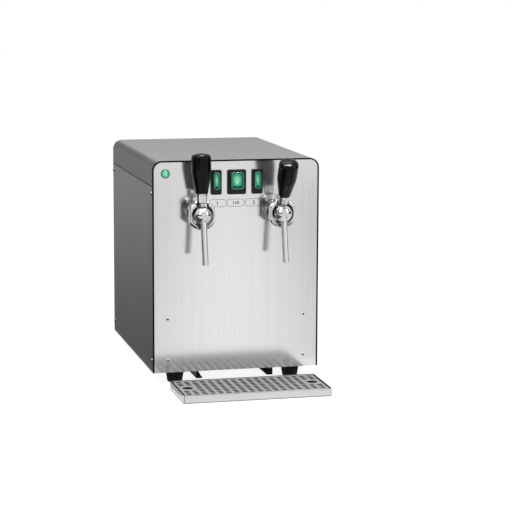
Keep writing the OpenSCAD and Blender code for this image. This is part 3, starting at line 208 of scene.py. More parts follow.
class Finish:
    """A material or world in the making, with its nodes and its shader."""

    def __init__(self, name, kind="Material"):
        store = bpy.data.worlds if kind == "World" else bpy.data.materials
        self.owner = store.new(name)
        self.owner.use_nodes = True
        self.tree = self.owner.node_tree
        self.tree.nodes.clear()
        self.output = self.tree.nodes.new(f"ShaderNodeOutput{kind}")

    def feed(self, socket, value):
        if isinstance(value, Value):
            self.tree.links.new(value.socket, socket)
        elif socket.type == "RGBA" and len(value) == 3:
            socket.default_value = (*value, 1.0)
        else:
            socket.default_value = value

    def node(self, kind, settings=None, sockets=None, output=0):
        """Adds a node of a kind, with its settings and then the values or links of its sockets."""
        made = self.tree.nodes.new(kind)
        for name, value in (settings or {}).items():
            setattr(made, name, value)
        for key, value in (sockets or {}).items():
            self.feed(made.inputs[key], value)
        return Value(self, made.outputs[output])

    def math(self, operation, *operands):
        return self.node("ShaderNodeMath", {"operation": operation}, dict(enumerate(operands)))

    def mixed(self, share, first, second):
        """A colour between two, the second where share is 1."""
        return self.node("ShaderNodeMix", {"data_type": "RGBA"}, {0: share, 6: first, 7: second}, 2)

    def scaled(self, colour, tone):
        """A colour times a factor."""
        return self.node("ShaderNodeVectorMath", {"operation": "SCALE"}, {0: colour, "Scale": tone})

    def place(self):
        return self.node("ShaderNodeTexCoord", output="Object")

    def axes(self):
        split = self.node("ShaderNodeSeparateXYZ", sockets={0: self.place()}).socket.node
        return [Value(self, output) for output in split.outputs]

    def scaled_place(self, size):
        """The object's own coordinates counted in steps of a size in metres along each axis."""
        scale = tuple(1 / step for step in size)
        return self.node("ShaderNodeMapping", sockets={"Vector": self.place(), "Scale": scale})

    def noise(self, size, detail=2.0, rough=0.5):
        """Noise from 0 to 1 whose blots have a size in metres along each axis."""
        return self.node(
            "ShaderNodeTexNoise",
            {"normalize": True},
            {"Vector": self.scaled_place(size), "Scale": 1.0, "Detail": detail, "Roughness": rough},
        )

    def bump(self, height, depth, under=None):
        """A normal from a height of 0 to 1 that stands for a depth in metres."""
        sockets = {"Height": height, "Distance": depth, "Strength": 1.0}
        if under is not None:
            sockets["Normal"] = under
        return self.node("ShaderNodeBump", sockets=sockets)

    def ended(self, shader):
        """The material or world, with its last shader linked to its output."""
        self.tree.links.new(shader.socket, self.output.inputs["Surface"])
        return self.owner

    def surface(self, **sockets):
        """The material, ended in a Principled shader with sockets named in lower case."""
        named = {}
        for key, value in sockets.items():
            named[key.replace("_", " ").title().replace("Ior", "IOR")] = value
        return self.ended(self.node("ShaderNodeBsdfPrincipled", sockets=named))


def dress(slot, material):
    """Gives every CAD node of a material slot its finish."""
    for node in frame["nodes"].values():
        for index, present in enumerate(node.data.materials):
            if present is not None and present.name.split(".")[0] == slot:
                node.data.materials[index] = material


def brushed_steel(name, colour, roughness, grain, depth, streak=0.05, blotch=0.03, shine=1.0):
    """Brushed sheet steel: grain is the size of its streaks along each axis, in metres."""
    finish = Finish(name)
    fine = finish.noise(grain, 3.0, 0.6)
    coarse = finish.noise(tuple(step * 5 for step in grain), 2.0)
    cloud = finish.noise((0.09, 0.09, 0.09), 2.0)
    tone = 1 + streak * (fine - 0.5) + streak * (coarse - 0.5) + blotch * (cloud - 0.5)
    shade = finish.scaled(colour, tone)
    return finish.surface(
        base_color=shade,
        metallic=shine,
        roughness=(roughness * (1 + 0.35 * (coarse - 0.5) + 0.25 * (cloud - 0.5))).clamped(),
        normal=finish.bump(fine, depth),
    )


def cast_chrome(name, colour, roughness, cup=False):
    """Chrome with faint waves and wiping marks; a cup gets painted shade in the top of its bore and
    over its underside, and a painted dark reflection round its outer rim.
    """
    finish = Finish(name)
    wave = finish.noise((0.006, 0.006, 0.006), 1.0)
    wipe = finish.noise((0.0012, 0.0012, 0.004), 3.0, 0.6)
    spots = finish.noise((0.012, 0.012, 0.012), 3.0)
    tone = 1 - 0.08 * spots.ramp(0.5, 0.75)
    shade = finish.scaled(colour, tone)
    painted_inner_shade = 0.0
    if cup:
        shank_low, shank_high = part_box("tap_right_shank")
        x, _, z = finish.axes()
        across = abs(x) - (shank_low[0] + shank_high[0]) / 2
        along = z - (shank_low[2] + shank_high[2]) / 2
        reach = (across * across + along * along) ** 0.5
        inside = 1 - reach.ramp(CUP_BORE - 0.1 * MM, CUP_BORE + 0.3 * MM)
        # Painted shade in the top of the cup's bore, in the gap behind the ball
        painted_inner_shade = inside * along.ramp(-2 * MM, 8 * MM)
        shade = finish.mixed(painted_inner_shade, shade, (0.03, 0.03, 0.03))
        # Painted shade over the cup's underside
        underside = 1 - along.ramp(-22 * MM, -12 * MM)
        shade = finish.mixed(0.8 * underside, shade, (0.1, 0.1, 0.1))
        # A painted dark reflection round the cup's outer rim
        rim = reach.ramp(CUP_RIM, CUP_RIM + 0.8 * MM)
        shade = finish.mixed(0.6 * rim, shade, (0.1, 0.1, 0.1))
    height = finish.bump(wave, 0.00006)
    return finish.surface(
        base_color=shade,
        metallic=1.0,
        roughness=roughness + 0.06 * spots.ramp(0.45, 0.8) + 0.03 * wipe + 0.3 * painted_inner_shade,
        normal=finish.bump(wipe, 0.000002, height),
    )


def moulded_plastic(name, colour, roughness, grain=0.0005, depth=0.00001, wear=0.5, gloss=0.3):
    """Moulded plastic with a spark-eroded grain and slightly worn, paler places."""
    finish = Finish(name)
    texture = finish.noise((grain, grain, grain), 2.0, 0.6)
    rub = finish.noise((0.012, 0.012, 0.012), 4.0, 0.65)
    pale = tuple(min(1, part + 0.012) for part in colour)
    return finish.surface(
        base_color=finish.mixed(wear * rub.ramp(0.45, 0.8), colour, pale),
        roughness=roughness + 0.12 * (rub - 0.5),
        specular_ior_level=gloss,
        normal=finish.bump(texture, depth),
    )


def rubber(name, colour):
    """Matt rubber with a dusty bloom towards the floor."""
    finish = Finish(name)
    texture = finish.noise((0.0008, 0.0008, 0.0008), 3.0, 0.7)
    bloom = finish.noise((0.01, 0.01, 0.006), 4.0, 0.6)
    height = finish.axes()[2]
    dust = (1 - height / 0.012).clamped() * bloom.ramp(0.35, 0.75)
    dusty = tuple(part + 0.015 for part in colour)
    return finish.surface(
        base_color=finish.mixed(0.5 * dust, colour, dusty),
        roughness=0.55 + 0.25 * bloom,
        specular_ior_level=0.12,
        normal=finish.bump(texture, 0.00004),
    )


def linked(name, data):
    """A new object with its data, linked to the scene."""
    made = bpy.data.objects.new(name, data)
    bpy.context.scene.collection.objects.link(made)
    return made


def plain_mesh(form, name):
    """The mesh of a form, which is freed."""
    mesh = bpy.data.meshes.new(name)
    form.to_mesh(mesh)
    form.free()
    return mesh


def mesh_piece(name, mesh, body, material):
    """Links a new mesh as a piece that rides on a CAD body."""
    made = linked(name, mesh)
    mesh.materials.append(material)
    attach(made, body)
    return made


class StageSettings(bpy.types.PropertyGroup):
    """The studio: its floor, room, lamps and camera."""

    floor_white: share_property(
        "Floor white", "Share of the floor's brightness that no shadow takes away", 0.72
    )
    room_level: share_property("Room level", "Brightness of the even light from all round", 0.55)
    key_power: FloatProperty(
        name="Key lamp",
        description="Power of the large lamp at the left",
        unit="POWER",
        default=30.0,
    )
    fill_power: FloatProperty(
        name="Fill lamp", description="Power of the lamp at the right", unit="POWER", default=12.0
    )
    top_power: FloatProperty(
        name="Top lamp", description="Power of the lamp above", unit="POWER", default=34.0
    )
    camera_place: FloatVectorProperty(
        name="Camera place",
        description="Where the camera stands",
        subtype="TRANSLATION",
        unit="LENGTH",
        default=(-0.75005, -3.26134, 0.73789),
    )
    camera_turn: FloatProperty(
        name="Camera turn",
        description="How far the camera looks to the right of straight ahead",
        subtype="ANGLE",
        unit="ROTATION",
        default=math.radians(14.139),
    )
    camera_fall: FloatProperty(
        name="Camera fall",
        description="How far the camera looks down",
        subtype="ANGLE",
        unit="ROTATION",
        default=math.radians(9.06),
    )
    camera_roll: FloatProperty(
        name="Camera roll",
        description="How far the camera leans",
        subtype="ANGLE",
        unit="ROTATION",
        default=math.radians(-0.253),
    )
    camera_lens: FloatProperty(
        name="Lens", description="Focal length on a 36 mm film, in millimetres", default=129.55
    )


class SteelSettings(bpy.types.PropertyGroup):
    """Colours of the sheet metal."""

    front_colour: colour_property(
        "Front sheet", "Colour of the brushed front panel", screen_colour(213, 213, 213)
    )
    hood_colour: colour_property("Hood", "Colour of the satin hood", screen_colour(133, 135, 133))
    side_colour: colour_property(
        "Sides", "Colour of the satin side sheets", screen_colour(158, 161, 159)
    )
    tray_colour: colour_property(
        "Drip tray", "Colour of the satin drip tray", screen_colour(198, 199, 198)
    )
    inner_colour: colour_property(
        "Inner sheet", "Colour of the plain inner sheets", screen_colour(168, 170, 170)
    )


class TapSettings(bpy.types.PropertyGroup):
    """Colours of the taps."""

    chrome_colour: colour_property(
        "Chrome", "Colour of the chrome plate", screen_colour(198, 199, 200)
    )
    spout_colour: colour_property(
        "Spout", "Colour of the spout tubes", screen_colour(208, 209, 209)
    )
    grip_colour: colour_property("Grip", "Colour of the lever grips", screen_colour(6, 6, 7))


class SwitchSettings(bpy.types.PropertyGroup):
    """Colours of the lit switches, the signal lamp and the print."""

    frame_colour: colour_property(
        "Switch frame",
        "Colour of the switch frames, the lamp's ring and the printed marks",
        screen_colour(22, 21, 21),
    )
    glow_colour: colour_property("Glow", "Colour of a lit rocker", screen_colour(36, 172, 126))
    glow_centre: colour_property(
        "Glow centre", "Colour over the lamp of a rocker", screen_colour(158, 236, 204)
    )
    spill_colour: colour_property(
        "Spill", "Colour of the light caught inside a cap's outline", screen_colour(4, 74, 50)
    )
    # The pale line round a clear cap is painted rim light
    rim_light_colour: colour_property(
        "Cap line", "Colour of the pale line round a clear cap", screen_colour(98, 168, 136)
    )
    glow_level: FloatProperty(
        name="Glow level", description="Brightness of the lit rockers", default=0.56
    )
    lamp_colour: colour_property(
        "Lamp lens", "Colour of the signal lamp's lens", screen_colour(46, 170, 112)
    )
    print_colour: colour_property(
        "Print", "Colour of the frames printed under the switches", screen_colour(84, 86, 86)
    )


class DISPENSER_OT_stage(bpy.types.Operator):
    """Add the world, the floor, the lamps, the cards that the metal mirrors, and the camera"""

    bl_idname = "dispenser.stage"
    bl_label = "Stage and camera"

    def execute(self, context):
        settings = context.scene.dispenser_stage
        add_world(context.scene, settings.room_level)
        add_floor(settings.floor_white)
        add_lamps(settings)
        add_cards()
        add_camera(context.scene, settings)
        return {"FINISHED"}


def seen_directly(finish):
    """1 for rays from the camera and for mirrored or refracted ones, 0 for the rest."""
    path = finish.node("ShaderNodeLightPath").socket.node
    wanted = ("Is Camera Ray", "Is Glossy Ray", "Is Transmission Ray")
    camera, glossy, refracted = [Value(finish, path.outputs[name]) for name in wanted]
    return (camera + glossy + refracted).clamped()


def add_world(scene, level):
    """White where it is looked at or mirrored, and an even pale light elsewhere."""
    room = Finish("studio_room", "World")
    strength = level + (1 - level) * seen_directly(room)
    light = room.node("ShaderNodeBackground", sockets={"Color": (1, 1, 1), "Strength": strength})
    scene.world = room.ended(light)


def add_floor(white):
    """A wide white floor that keeps a soft shadow."""
    finish = Finish("studio_floor")
    grain = finish.noise((0.02, 0.02, 0.02), 3.0)
    shade = finish.mixed(grain, (0.86, 0.86, 0.86), (0.9, 0.9, 0.9))
    matt = finish.node("ShaderNodeBsdfDiffuse", sockets={"Color": shade})
    glow = finish.node("ShaderNodeEmission", sockets={"Color": (1, 1, 1), "Strength": 1.2})
    mix = finish.node(
        "ShaderNodeMixShader", sockets={0: white * seen_directly(finish), 1: matt, 2: glow}
    )
    form = bmesh.new()
    bmesh.ops.create_circle(form, cap_ends=True, radius=12.0, segments=96)
    floor = linked("studio_floor", plain_mesh(form, "studio_floor"))
    floor.data.materials.append(finish.ended(mix))
    floor.location.z = -0.3 * MM


def looking_at(place, target):
    """A turn that points an object's own -Z from a place to a target."""
    return (Vector(target) - Vector(place)).to_track_quat("-Z", "Y").to_euler()


def add_lamp(name, place, width, height, power):
    data = bpy.data.lights.new(name, "AREA")
    data.shape = "RECTANGLE"
    data.size = width
    data.size_y = height
    data.energy = power
    lamp = linked(name, data)
    lamp.location = place
    lamp.rotation_euler = looking_at(place, (0, 0, 0.2))


def add_lamps(settings):
    add_lamp("key_lamp", (-1.9, -1.5, 1.9), 1.2, 1.6, settings.key_power)
    add_lamp("fill_lamp", (2.0, -1.4, 1.5), 0.9, 1.6, settings.fill_power)
    add_lamp("top_lamp", (0.0, 0.1, 2.6), 2.0, 1.6, settings.top_power)


def add_card(name, place, turn, width, height, start, end, fading=False):
    """A card that only mirrored rays see, shaded along its height or out from its middle."""
    finish = Finish(name)
    x, y, _ = finish.axes()
    share = abs(x) / (width / 2) if fading else y / height + 0.5
    shade = finish.mixed(share.ramp(0, 1), (start,) * 3, (end,) * 3)
    glow = finish.node("ShaderNodeEmission", sockets={"Color": shade, "Strength": 1.0})
    form = bmesh.new()
    bmesh.ops.create_grid(form, x_segments=1, y_segments=1, size=0.5)
    bmesh.ops.scale(form, vec=(width, height, 1), verts=form.verts)
    card = linked(name, plain_mesh(form, name))
    card.data.materials.append(finish.ended(glow))
    card.location = place
    card.rotation_euler = turn
    card.visible_camera = False
    card.visible_diffuse = False
    card.visible_shadow = False
    card.visible_transmission = False
    return card


# Dark and bright cards that stand round the object: bearing from straight ahead of the front panel
# to its right, rise, distance, width, height, and the brightness of the lower and the upper edge
STANDING_CARDS = {
    "front_left": (-56, 19, 3.6, 3.2, 2.2, 0.03, 0.03),
    "front_right": (72, 19, 3.6, 2.0, 2.2, 0.03, 0.03),
    "left": (-95, 4, 1.6, 1.3, 0.4, 0.03, 0.03),
    "right": (92, 4, 1.6, 1.1, 0.4, 0.03, 0.03),
    "back_left": (200, 11, 2.7, 1.8, 1.6, 0.44, 0.06),
    "back_right": (156, 14, 2.8, 2.0, 1.4, 0.6, 0.7),
    "overhead": (4, 79, 1.8, 1.0, 0.36, 60.0, 60.0),
}
# Low level cards that the left side, the tray and the front panel mirror: place, turn about Z in
# degrees, width, depth, brightness at the near and the far edge or, where the card fades, in its
# middle and at its sides, and whether it fades
LOW_CARDS = {
    "floor_left": ((-1.852, 1.7, 0.02), 0, 3.4, 4.6, 0.1, 0.52, False),
    "floor_tray": ((-0.158, -0.16, 0.004), 0, 0.055, 0.17, 0.42, 0.42, False),
    "tray_front": ((0.005, -0.3213, 0.0134), 0, 0.263, 0.065, 1.15, 0.42, False),
    "floor_front": ((0.35, -1.7, 0.01), 12.9, 0.7, 2.9, 1.2, 0.66, True),
}


def add_cards():
    """The standing cards and the low ones."""
    middle = Vector((0, -0.15, 0.25))
    for name, (bearing, rise, distance, width, height, low, high) in STANDING_CARDS.items():
        bearing, rise = math.radians(bearing), math.radians(rise)
        way = Vector((
            math.sin(bearing) * math.cos(rise), -math.cos(bearing) * math.cos(rise), math.sin(rise)
        ))
        place = middle + distance * way
        add_card(f"card_{name}", place, looking_at(place, middle), width, height, low, high)
    for name, (place, turn, width, depth, start, end, fading) in LOW_CARDS.items():
        level = (0, 0, math.radians(turn))
        card = add_card(f"card_{name}", place, level, width, depth, start, end, fading)
        if name == "tray_front":
            # It moves with the tray, whose mirror image in the front panel it extends upward
            card.parent = frame["nodes"]["drip_pan"].parent
            card.matrix_parent_inverse = card.parent.matrix_world.inverted()


def add_camera(scene, settings):
    """The photograph's camera, from its place, turn, fall and roll."""
    turn = settings.camera_turn
    fall = settings.camera_fall
    ahead = Vector((
        math.sin(turn) * math.cos(fall), math.cos(turn) * math.cos(fall), -math.sin(fall)
    ))
    right = Vector((math.cos(turn), -math.sin(turn), 0))
    down = ahead.cross(right)
    roll = settings.camera_roll
    rolled_right = math.cos(roll) * right + math.sin(roll) * down
    rolled_down = math.cos(roll) * down - math.sin(roll) * right
    axes = Matrix((rolled_right, -rolled_down, -ahead)).transposed().to_4x4()
    data = bpy.data.cameras.new("camera")
    data.lens = settings.camera_lens
    data.sensor_width = 36
    data.clip_end = 100
    camera = linked("camera", data)
    camera.matrix_world = Matrix.Translation(settings.camera_place) @ axes
    scene.camera = camera
    scene.view_settings.view_transform = "Standard"


def seamed_steel(name, colour, roughness, grain):
    """Satin sheet with a faint level grain and a line of painted shade in the seam where the hood
    meets the sides.
    """
    finish = Finish(name)
    fine = finish.noise(grain, 3.0, 0.6)
    cloud = finish.noise((0.07, 0.1, 0.07), 3.0, 0.6)
    marks = finish.noise((0.02, 0.05, 0.02), 4.0, 0.65).ramp(0.55, 0.8)
    shade = finish.scaled(colour, 1 + 0.1 * (fine - 0.5) + 0.08 * (cloud - 0.5))
    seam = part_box("side_panel_left")[1][2]
    # Painted shade along the seam, within about a millimetre of it
    seam_shade = 1 - abs(finish.axes()[2] - seam).ramp(0.6 * MM, 1.1 * MM)
    return finish.surface(
        base_color=finish.mixed(seam_shade, shade, (0.02, 0.02, 0.02)),
        metallic=1.0,
        roughness=roughness + 0.06 * (fine - 0.5) + 0.05 * marks + 0.3 * seam_shade,
        normal=finish.bump(fine, 0.000012),
    )


def socket_steel(name, colour):
    """Screw steel with painted shade in the socket in the middle of each head of the front screws.
    """
    finish = Finish(name)
    low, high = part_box("front_screws")
    x, _, z = finish.axes()
    head = 3 * MM
    across, along = [
        abs(place - (low[axis] + high[axis]) / 2) - ((high[axis] - low[axis]) / 2 - head)
        for axis, place in ((0, x), (2, z))
    ]
    grain = finish.noise((0.0005, 0.0005, 0.0005), 2.0)
    # Painted shade inside the socket of each head
    socket = 1 - ((across * across + along * along) ** 0.5).ramp(1.4 * MM, 1.9 * MM)
    return finish.surface(
        base_color=finish.mixed(socket, colour, (0.02, 0.02, 0.02)),
        metallic=1.0,
        roughness=0.25 + 0.15 * grain + 0.3 * socket,
        normal=finish.bump(grain, 0.00001),
    )


class DISPENSER_OT_housing(bpy.types.Operator):
    """Finish the front panel, hood, sides, rear panel, trim, inner sheets and screws"""

    bl_idname = "dispenser.housing"
    bl_label = "Housing sheets"

    def execute(self, context):
        steel = context.scene.dispenser_steel
        upright = (0.0006, 0.0006, 0.06)
        flat = (0.0009, 0.0009, 0.0009)
        front = brushed_steel(
            "brushed_front", steel.front_colour, 0.13, upright, 0.00001, 0.1, 0.02, 0.92
        )
        dress("brushed_front", front)
        for slot, colour in (("hood_steel", steel.hood_colour), ("side_steel", steel.side_colour)):
            dress(slot, seamed_steel(slot, colour, 0.38, (0.0008, 0.012, 0.0008)))
        dress("trim_black", moulded_plastic("trim_black", screen_colour(7, 7, 8), 0.5, gloss=0.06))
        level = (0.02, 0.0009, 0.0009)
        inner = brushed_steel("sheet_inner", steel.inner_colour, 0.35, level, 0.00001)
        dress("sheet_inner", inner)
        dull_steel = tuple(0.8 * part for part in steel.side_colour)
        dress("screw_steel", brushed_steel("screw_steel", dull_steel, 0.45, flat, 0.00001))
        bright_steel = socket_steel("socket_steel", steel.front_colour)
        frame["nodes"]["front_screws"].data.materials[0] = bright_steel
        return {"FINISHED"}


class DISPENSER_OT_feet(bpy.types.Operator):
    """Finish the rubber feet and the rails under the base"""

    bl_idname = "dispenser.feet"
    bl_label = "Feet and rails"

    def execute(self, context):
        dress("foot_rubber", rubber("foot_rubber", screen_colour(8, 8, 9)))
        black = screen_colour(9, 9, 10)
        dress("rail_black", moulded_plastic("rail_black", black, 0.55, 0.0012, 0.00004, gloss=0.08))
        return {"FINISHED"}


def rim_bead_mesh(name, side):
    """The rounded bead round a tap cup's mouth, open where the lever's slot cuts the cup."""
    low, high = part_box(f"tap_{side}_shank")
    middle_x, middle_z = (low[0] + high[0]) / 2, (low[2] + high[2]) / 2
    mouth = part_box(f"tap_{side}_body")[0][1]
    form = bmesh.new()
    sections = []
    for step in range(BEAD_STEPS + 1):
        turn = math.radians(BEAD_START + (360 - 2 * BEAD_START) * step / BEAD_STEPS)
        outer = min(BEAD_OUTER, BEAD_FLAT / max(abs(math.sin(turn)), 0.01))
        centre, half = (outer + BEAD_INNER) / 2, (outer - BEAD_INNER) / 2
        section = []
        for part in range(BEAD_PARTS + 1):
            swing = math.radians(180 * part / BEAD_PARTS)
            reach = centre + half * math.cos(swing)
            rise = BEAD_RISE * math.sin(swing) if 0 < part < BEAD_PARTS else -0.2 * MM
            x, z = middle_x + reach * math.sin(turn), middle_z + reach * math.cos(turn)
            section.append(form.verts.new((x, mouth - rise, z)))
        sections.append(section)
    for first, second in zip(sections, sections[1:]):
        bridge(form, first, second, True)
    form.faces.new(sections[0])
    form.faces.new(sections[-1][::-1])
    mesh = finished_mesh(form, name)
    mesh.shade_smooth()
    return mesh


class DISPENSER_OT_taps(bpy.types.Operator):
    """Finish the taps, levers and grips, and add the bead round each cup's mouth"""

    bl_idname = "dispenser.taps"
    bl_label = "Taps"

    def execute(self, context):
        taps = context.scene.dispenser_taps
        dress("tap_chrome", cast_chrome("tap_chrome", taps.chrome_colour, 0.05))
        cup = cast_chrome("cup_chrome", taps.chrome_colour, 0.05, cup=True)
        upright = (0.0004, 0.0004, 0.02)
        spout = brushed_steel("spout_steel", taps.spout_colour, 0.3, upright, 0.000004)
        for side in ("left", "right"):
            frame["nodes"][f"tap_{side}_spout"].data.materials[0] = spout
            frame["nodes"][f"tap_{side}_body"].data.materials[0] = cup
            mesh_piece(f"tap_{side}_rim", rim_bead_mesh(f"tap_{side}_rim", side), "housing", cup)
        dress("lever_steel", cast_chrome("lever_steel", taps.chrome_colour, 0.16))
        dress("plunger_steel", cast_chrome("plunger_steel", taps.chrome_colour, 0.2))
        grip = moulded_plastic("grip_black", taps.grip_colour, 0.07, 0.004, 0.000004, 0.1, 0.13)
        dress("grip_black", grip)
        return {"FINISHED"}


def lit_plastic(node, colour, centre_colour, level, border, width):
    """A node's green plastic, lit from behind, brightest over its lamp and dim in a border."""
    finish = Finish(node)
    low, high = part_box(node)
    x, _, z = finish.axes()
    across = (x - (low[0] + high[0]) / 2) / width
    along = (z - (low[2] + high[2]) / 2) / (high[2] - low[2])
    reach = (across * across + along * along) ** 0.5
    cloud = finish.noise((0.002, 0.002, 0.002), 2.0)
    spot = 1 - (reach + 0.22 * (cloud - 0.5)).ramp(0.02, 0.5)
    reach = outline_distance(finish, node, min(5.5 * MM, width * 0.48), width=width)
    lit = 1 - reach.ramp(-border - 0.8 * MM, -border + 0.4 * MM)
    dim = tuple(part * 0.2 for part in colour)
    shade = finish.mixed(lit, dim, finish.mixed(spot, colour, centre_colour))
    return finish.surface(
        base_color=finish.mixed(0.5, shade, (0.01, 0.12, 0.07)),
        roughness=0.3,
        emission_color=shade,
        emission_strength=level,
        normal=finish.bump(cloud, 0.00008),
    )


def outline_distance(finish, node, radius, first=0, second=2, width=None):
    """Distance outside a node's rounded outline across two axes, and negative inside it."""
    low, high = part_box(node)
    places = finish.axes()
    reach = []
    for axis in (first, second):
        middle, half = (low[axis] + high[axis]) / 2, (high[axis] - low[axis]) / 2
        if axis == first and width is not None:
            half = width / 2
        reach.append(abs(places[axis] - middle) - (half - radius))
    across, along = [part.math("MAXIMUM", 0.0) for part in reach]
    corner = (across * across + along * along) ** 0.5
    return corner + reach[0].math("MAXIMUM", reach[1]).math("MINIMUM", 0.0) - radius


def clear_cap(node, spill_glow, rim_light_colour):
    """A soft clear cap, barely there in the middle, glowing with painted green spill light, with a
    pale line of painted rim light over its wall.
    """
    finish = Finish(node)
    outward = outline_distance(finish, node, CAP_RADIUS)
    wave = finish.noise((0.004, 0.004, 0.006), 2.0)
    # A pale line of painted rim light over the cap's wall
    line = outward.ramp(-1.45 * MM, -1.2 * MM) * (1 - outward.ramp(-1.0 * MM, -0.75 * MM))
    # The wall is more opaque, so its painted spill light shows more there
    wall = outward.ramp(-2.6 * MM, -1.8 * MM)
    return finish.surface(
        base_color=finish.mixed(line, spill_glow, rim_light_colour),
        roughness=0.08 + 0.06 * wave,
        specular_ior_level=0.3,
        alpha=0.06 + 0.06 * wave + 0.4 * wall + 0.4 * line,
        # The whole cap glows with painted green spill light, and the line with painted rim light
        emission_color=finish.mixed(line, spill_glow, rim_light_colour),
        emission_strength=0.5,
        normal=finish.bump(wave, 0.00006),
    )


def lit_collar(name, node, colour, spill_colour):
    """Black switch plastic that catches a green spill of light inside the cap's outline."""
    finish = Finish(name)
    outward = outline_distance(finish, node, CAP_RADIUS)
    texture = finish.noise((0.0005, 0.0005, 0.0005), 2.0, 0.6)
    spill = 1 - outward.ramp(-0.6 * MM, 0.3 * MM)
    return finish.surface(
        base_color=finish.mixed(texture, colour, tuple(part * 1.4 for part in colour)),
        roughness=0.36 + 0.1 * texture,
        specular_ior_level=0.25,
        emission_color=finish.mixed(spill, (0, 0, 0), spill_colour),
        emission_strength=1.0,
        normal=finish.bump(texture, 0.00001),
    )


def cap_sections(width, height, radius, level, reach, fillet):
    """Outlines of a cap's skin, from its open back to the edge of its front face."""
    rows = [(0.0, level), (0.0, level - reach + fillet)]
    for step in range(1, 7):
        turn = math.radians(15 * step)
        rows.append((fillet * (1 - math.cos(turn)), level - reach + fillet * (1 - math.sin(turn))))
    sections = []
    for inset, y in rows:
        loop = rounded_loop((0, 0), width - 2 * inset, height - 2 * inset, radius - inset)
        sections.append([(x, y, z) for x, z in loop])
    return sections


def soft_cap_mesh(node):
    """A moulded cap with rounded front edges, a wall and an open back, inside its node's box."""
    low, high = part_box(node)
    width, depth, height = [high[axis] - low[axis] for axis in range(3)]
    outer = cap_sections(width, height, CAP_RADIUS, high[1], depth, CAP_FILLET)
    inner = cap_sections(
        width - 2 * CAP_WALL,
        height - 2 * CAP_WALL,
        CAP_RADIUS - CAP_WALL,
        high[1],
        depth - CAP_WALL,
        CAP_FILLET - CAP_WALL,
    )
    form = bmesh.new()
    skins = []
    for sections in (outer, inner):
        skins.append([[form.verts.new(corner) for corner in section] for section in sections])
    for skin, outside in zip(skins, (True, False)):
        for first, second in zip(skin, skin[1:]):
            bridge(form, first, second, outside)
        form.faces.new(skin[-1] if outside else skin[-1][::-1])
    bridge(form, skins[1][0], skins[0][0], True)
    middle = ((low[0] + high[0]) / 2, 0, (low[2] + high[2]) / 2)
    bmesh.ops.translate(form, vec=middle, verts=form.verts)
    mesh = finished_mesh(form, node)
    mesh.shade_smooth()
    return mesh


def bridge(form, first, second, outside):
    """Joins two closed rows of corners with a band of faces."""
    count = len(first)
    for index in range(count):
        after = (index + 1) % count
        corners = (first[index], first[after], second[after], second[index])
        form.faces.new(corners if outside else corners[::-1])


def rocker_mark_mesh(name):
    """The on and off marks, laid on the hollow face of the wide rocker at its tilt."""
    form = bmesh.new()
    flat_ribbon(form, [(0, height) for height in ROCKER_ON], ROCKER_LINE, -FILM)
    middle, radius = ROCKER_OFF
    flat_ribbon(form, ring((0, middle), radius), ROCKER_LINE, -FILM, True)
    tilt = math.radians(ROCKER_TILT)
    for corner in form.verts:
        x, depth, z = corner.co
        face = ROCKER_FACE + ROCKER_DISH - ROCKER_BOW + math.sqrt(ROCKER_BOW**2 - z**2) + depth
        corner.co = (
            x,
            ROCKER_AXIS[0] + face * math.cos(tilt) + z * math.sin(tilt),
            ROCKER_AXIS[1] - face * math.sin(tilt) + z * math.cos(tilt),
        )
    return finished_mesh(form, name)


class DISPENSER_OT_switches(bpy.types.Operator):
    """Finish the switch frames and lit rockers, and add the soft caps and the rocker's marks"""

    bl_idname = "dispenser.switches"
    bl_label = "Switches"

    def execute(self, context):
        switches = context.scene.dispenser_switches
        for switch, (width, border) in ROCKER_LIGHT.items():
            rocker, cap, collar = [f"{switch}_switch_{part}" for part in ("rocker", "cap", "frame")]
            glow = lit_plastic(
                rocker,
                switches.glow_colour,
                switches.glow_centre,
                switches.glow_level,
                border,
                width,
            )
            black = lit_collar(collar, cap, switches.frame_colour, switches.spill_colour)
            for node, material in ((rocker, glow), (collar, black)):
                frame["nodes"][node].data.materials[0] = material
            clear = clear_cap(cap, tuple(switches.spill_colour), tuple(switches.rim_light_colour))
            skin = mesh_piece(f"{switch}_soft_cap", soft_cap_mesh(cap), "housing", clear)
            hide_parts(cap)
        finish = Finish("rocker_marks")
        cloud = finish.noise((0.001, 0.001, 0.001), 2.0)
        shade = finish.mixed(cloud, (0.5, 0.9, 0.72), (0.62, 0.95, 0.82))
        pale = finish.surface(
            base_color=shade, roughness=0.4, emission_color=shade, emission_strength=0.42
        )
        mesh_piece("main_rocker_marks", rocker_mark_mesh("main_rocker_marks"), "main_rocker", pale)
        return {"FINISHED"}


class DISPENSER_OT_lamp(bpy.types.Operator):
    """Finish the signal lamp's lens and holder"""

    bl_idname = "dispenser.lamp"
    bl_label = "Signal lamp"

    def execute(self, context):
        switches = context.scene.dispenser_switches
        # The border lies outside the lens, so that no part of the lens is dim
        lens = lit_plastic(
            "lamp_lens", switches.lamp_colour, switches.glow_centre, 0.36, -1, 14 * MM
        )
        frame["nodes"]["lamp_lens"].data.materials[0] = lens
        dress("lamp_black", moulded_plastic("lamp_black", switches.frame_colour, 0.4))
        return {"FINISHED"}


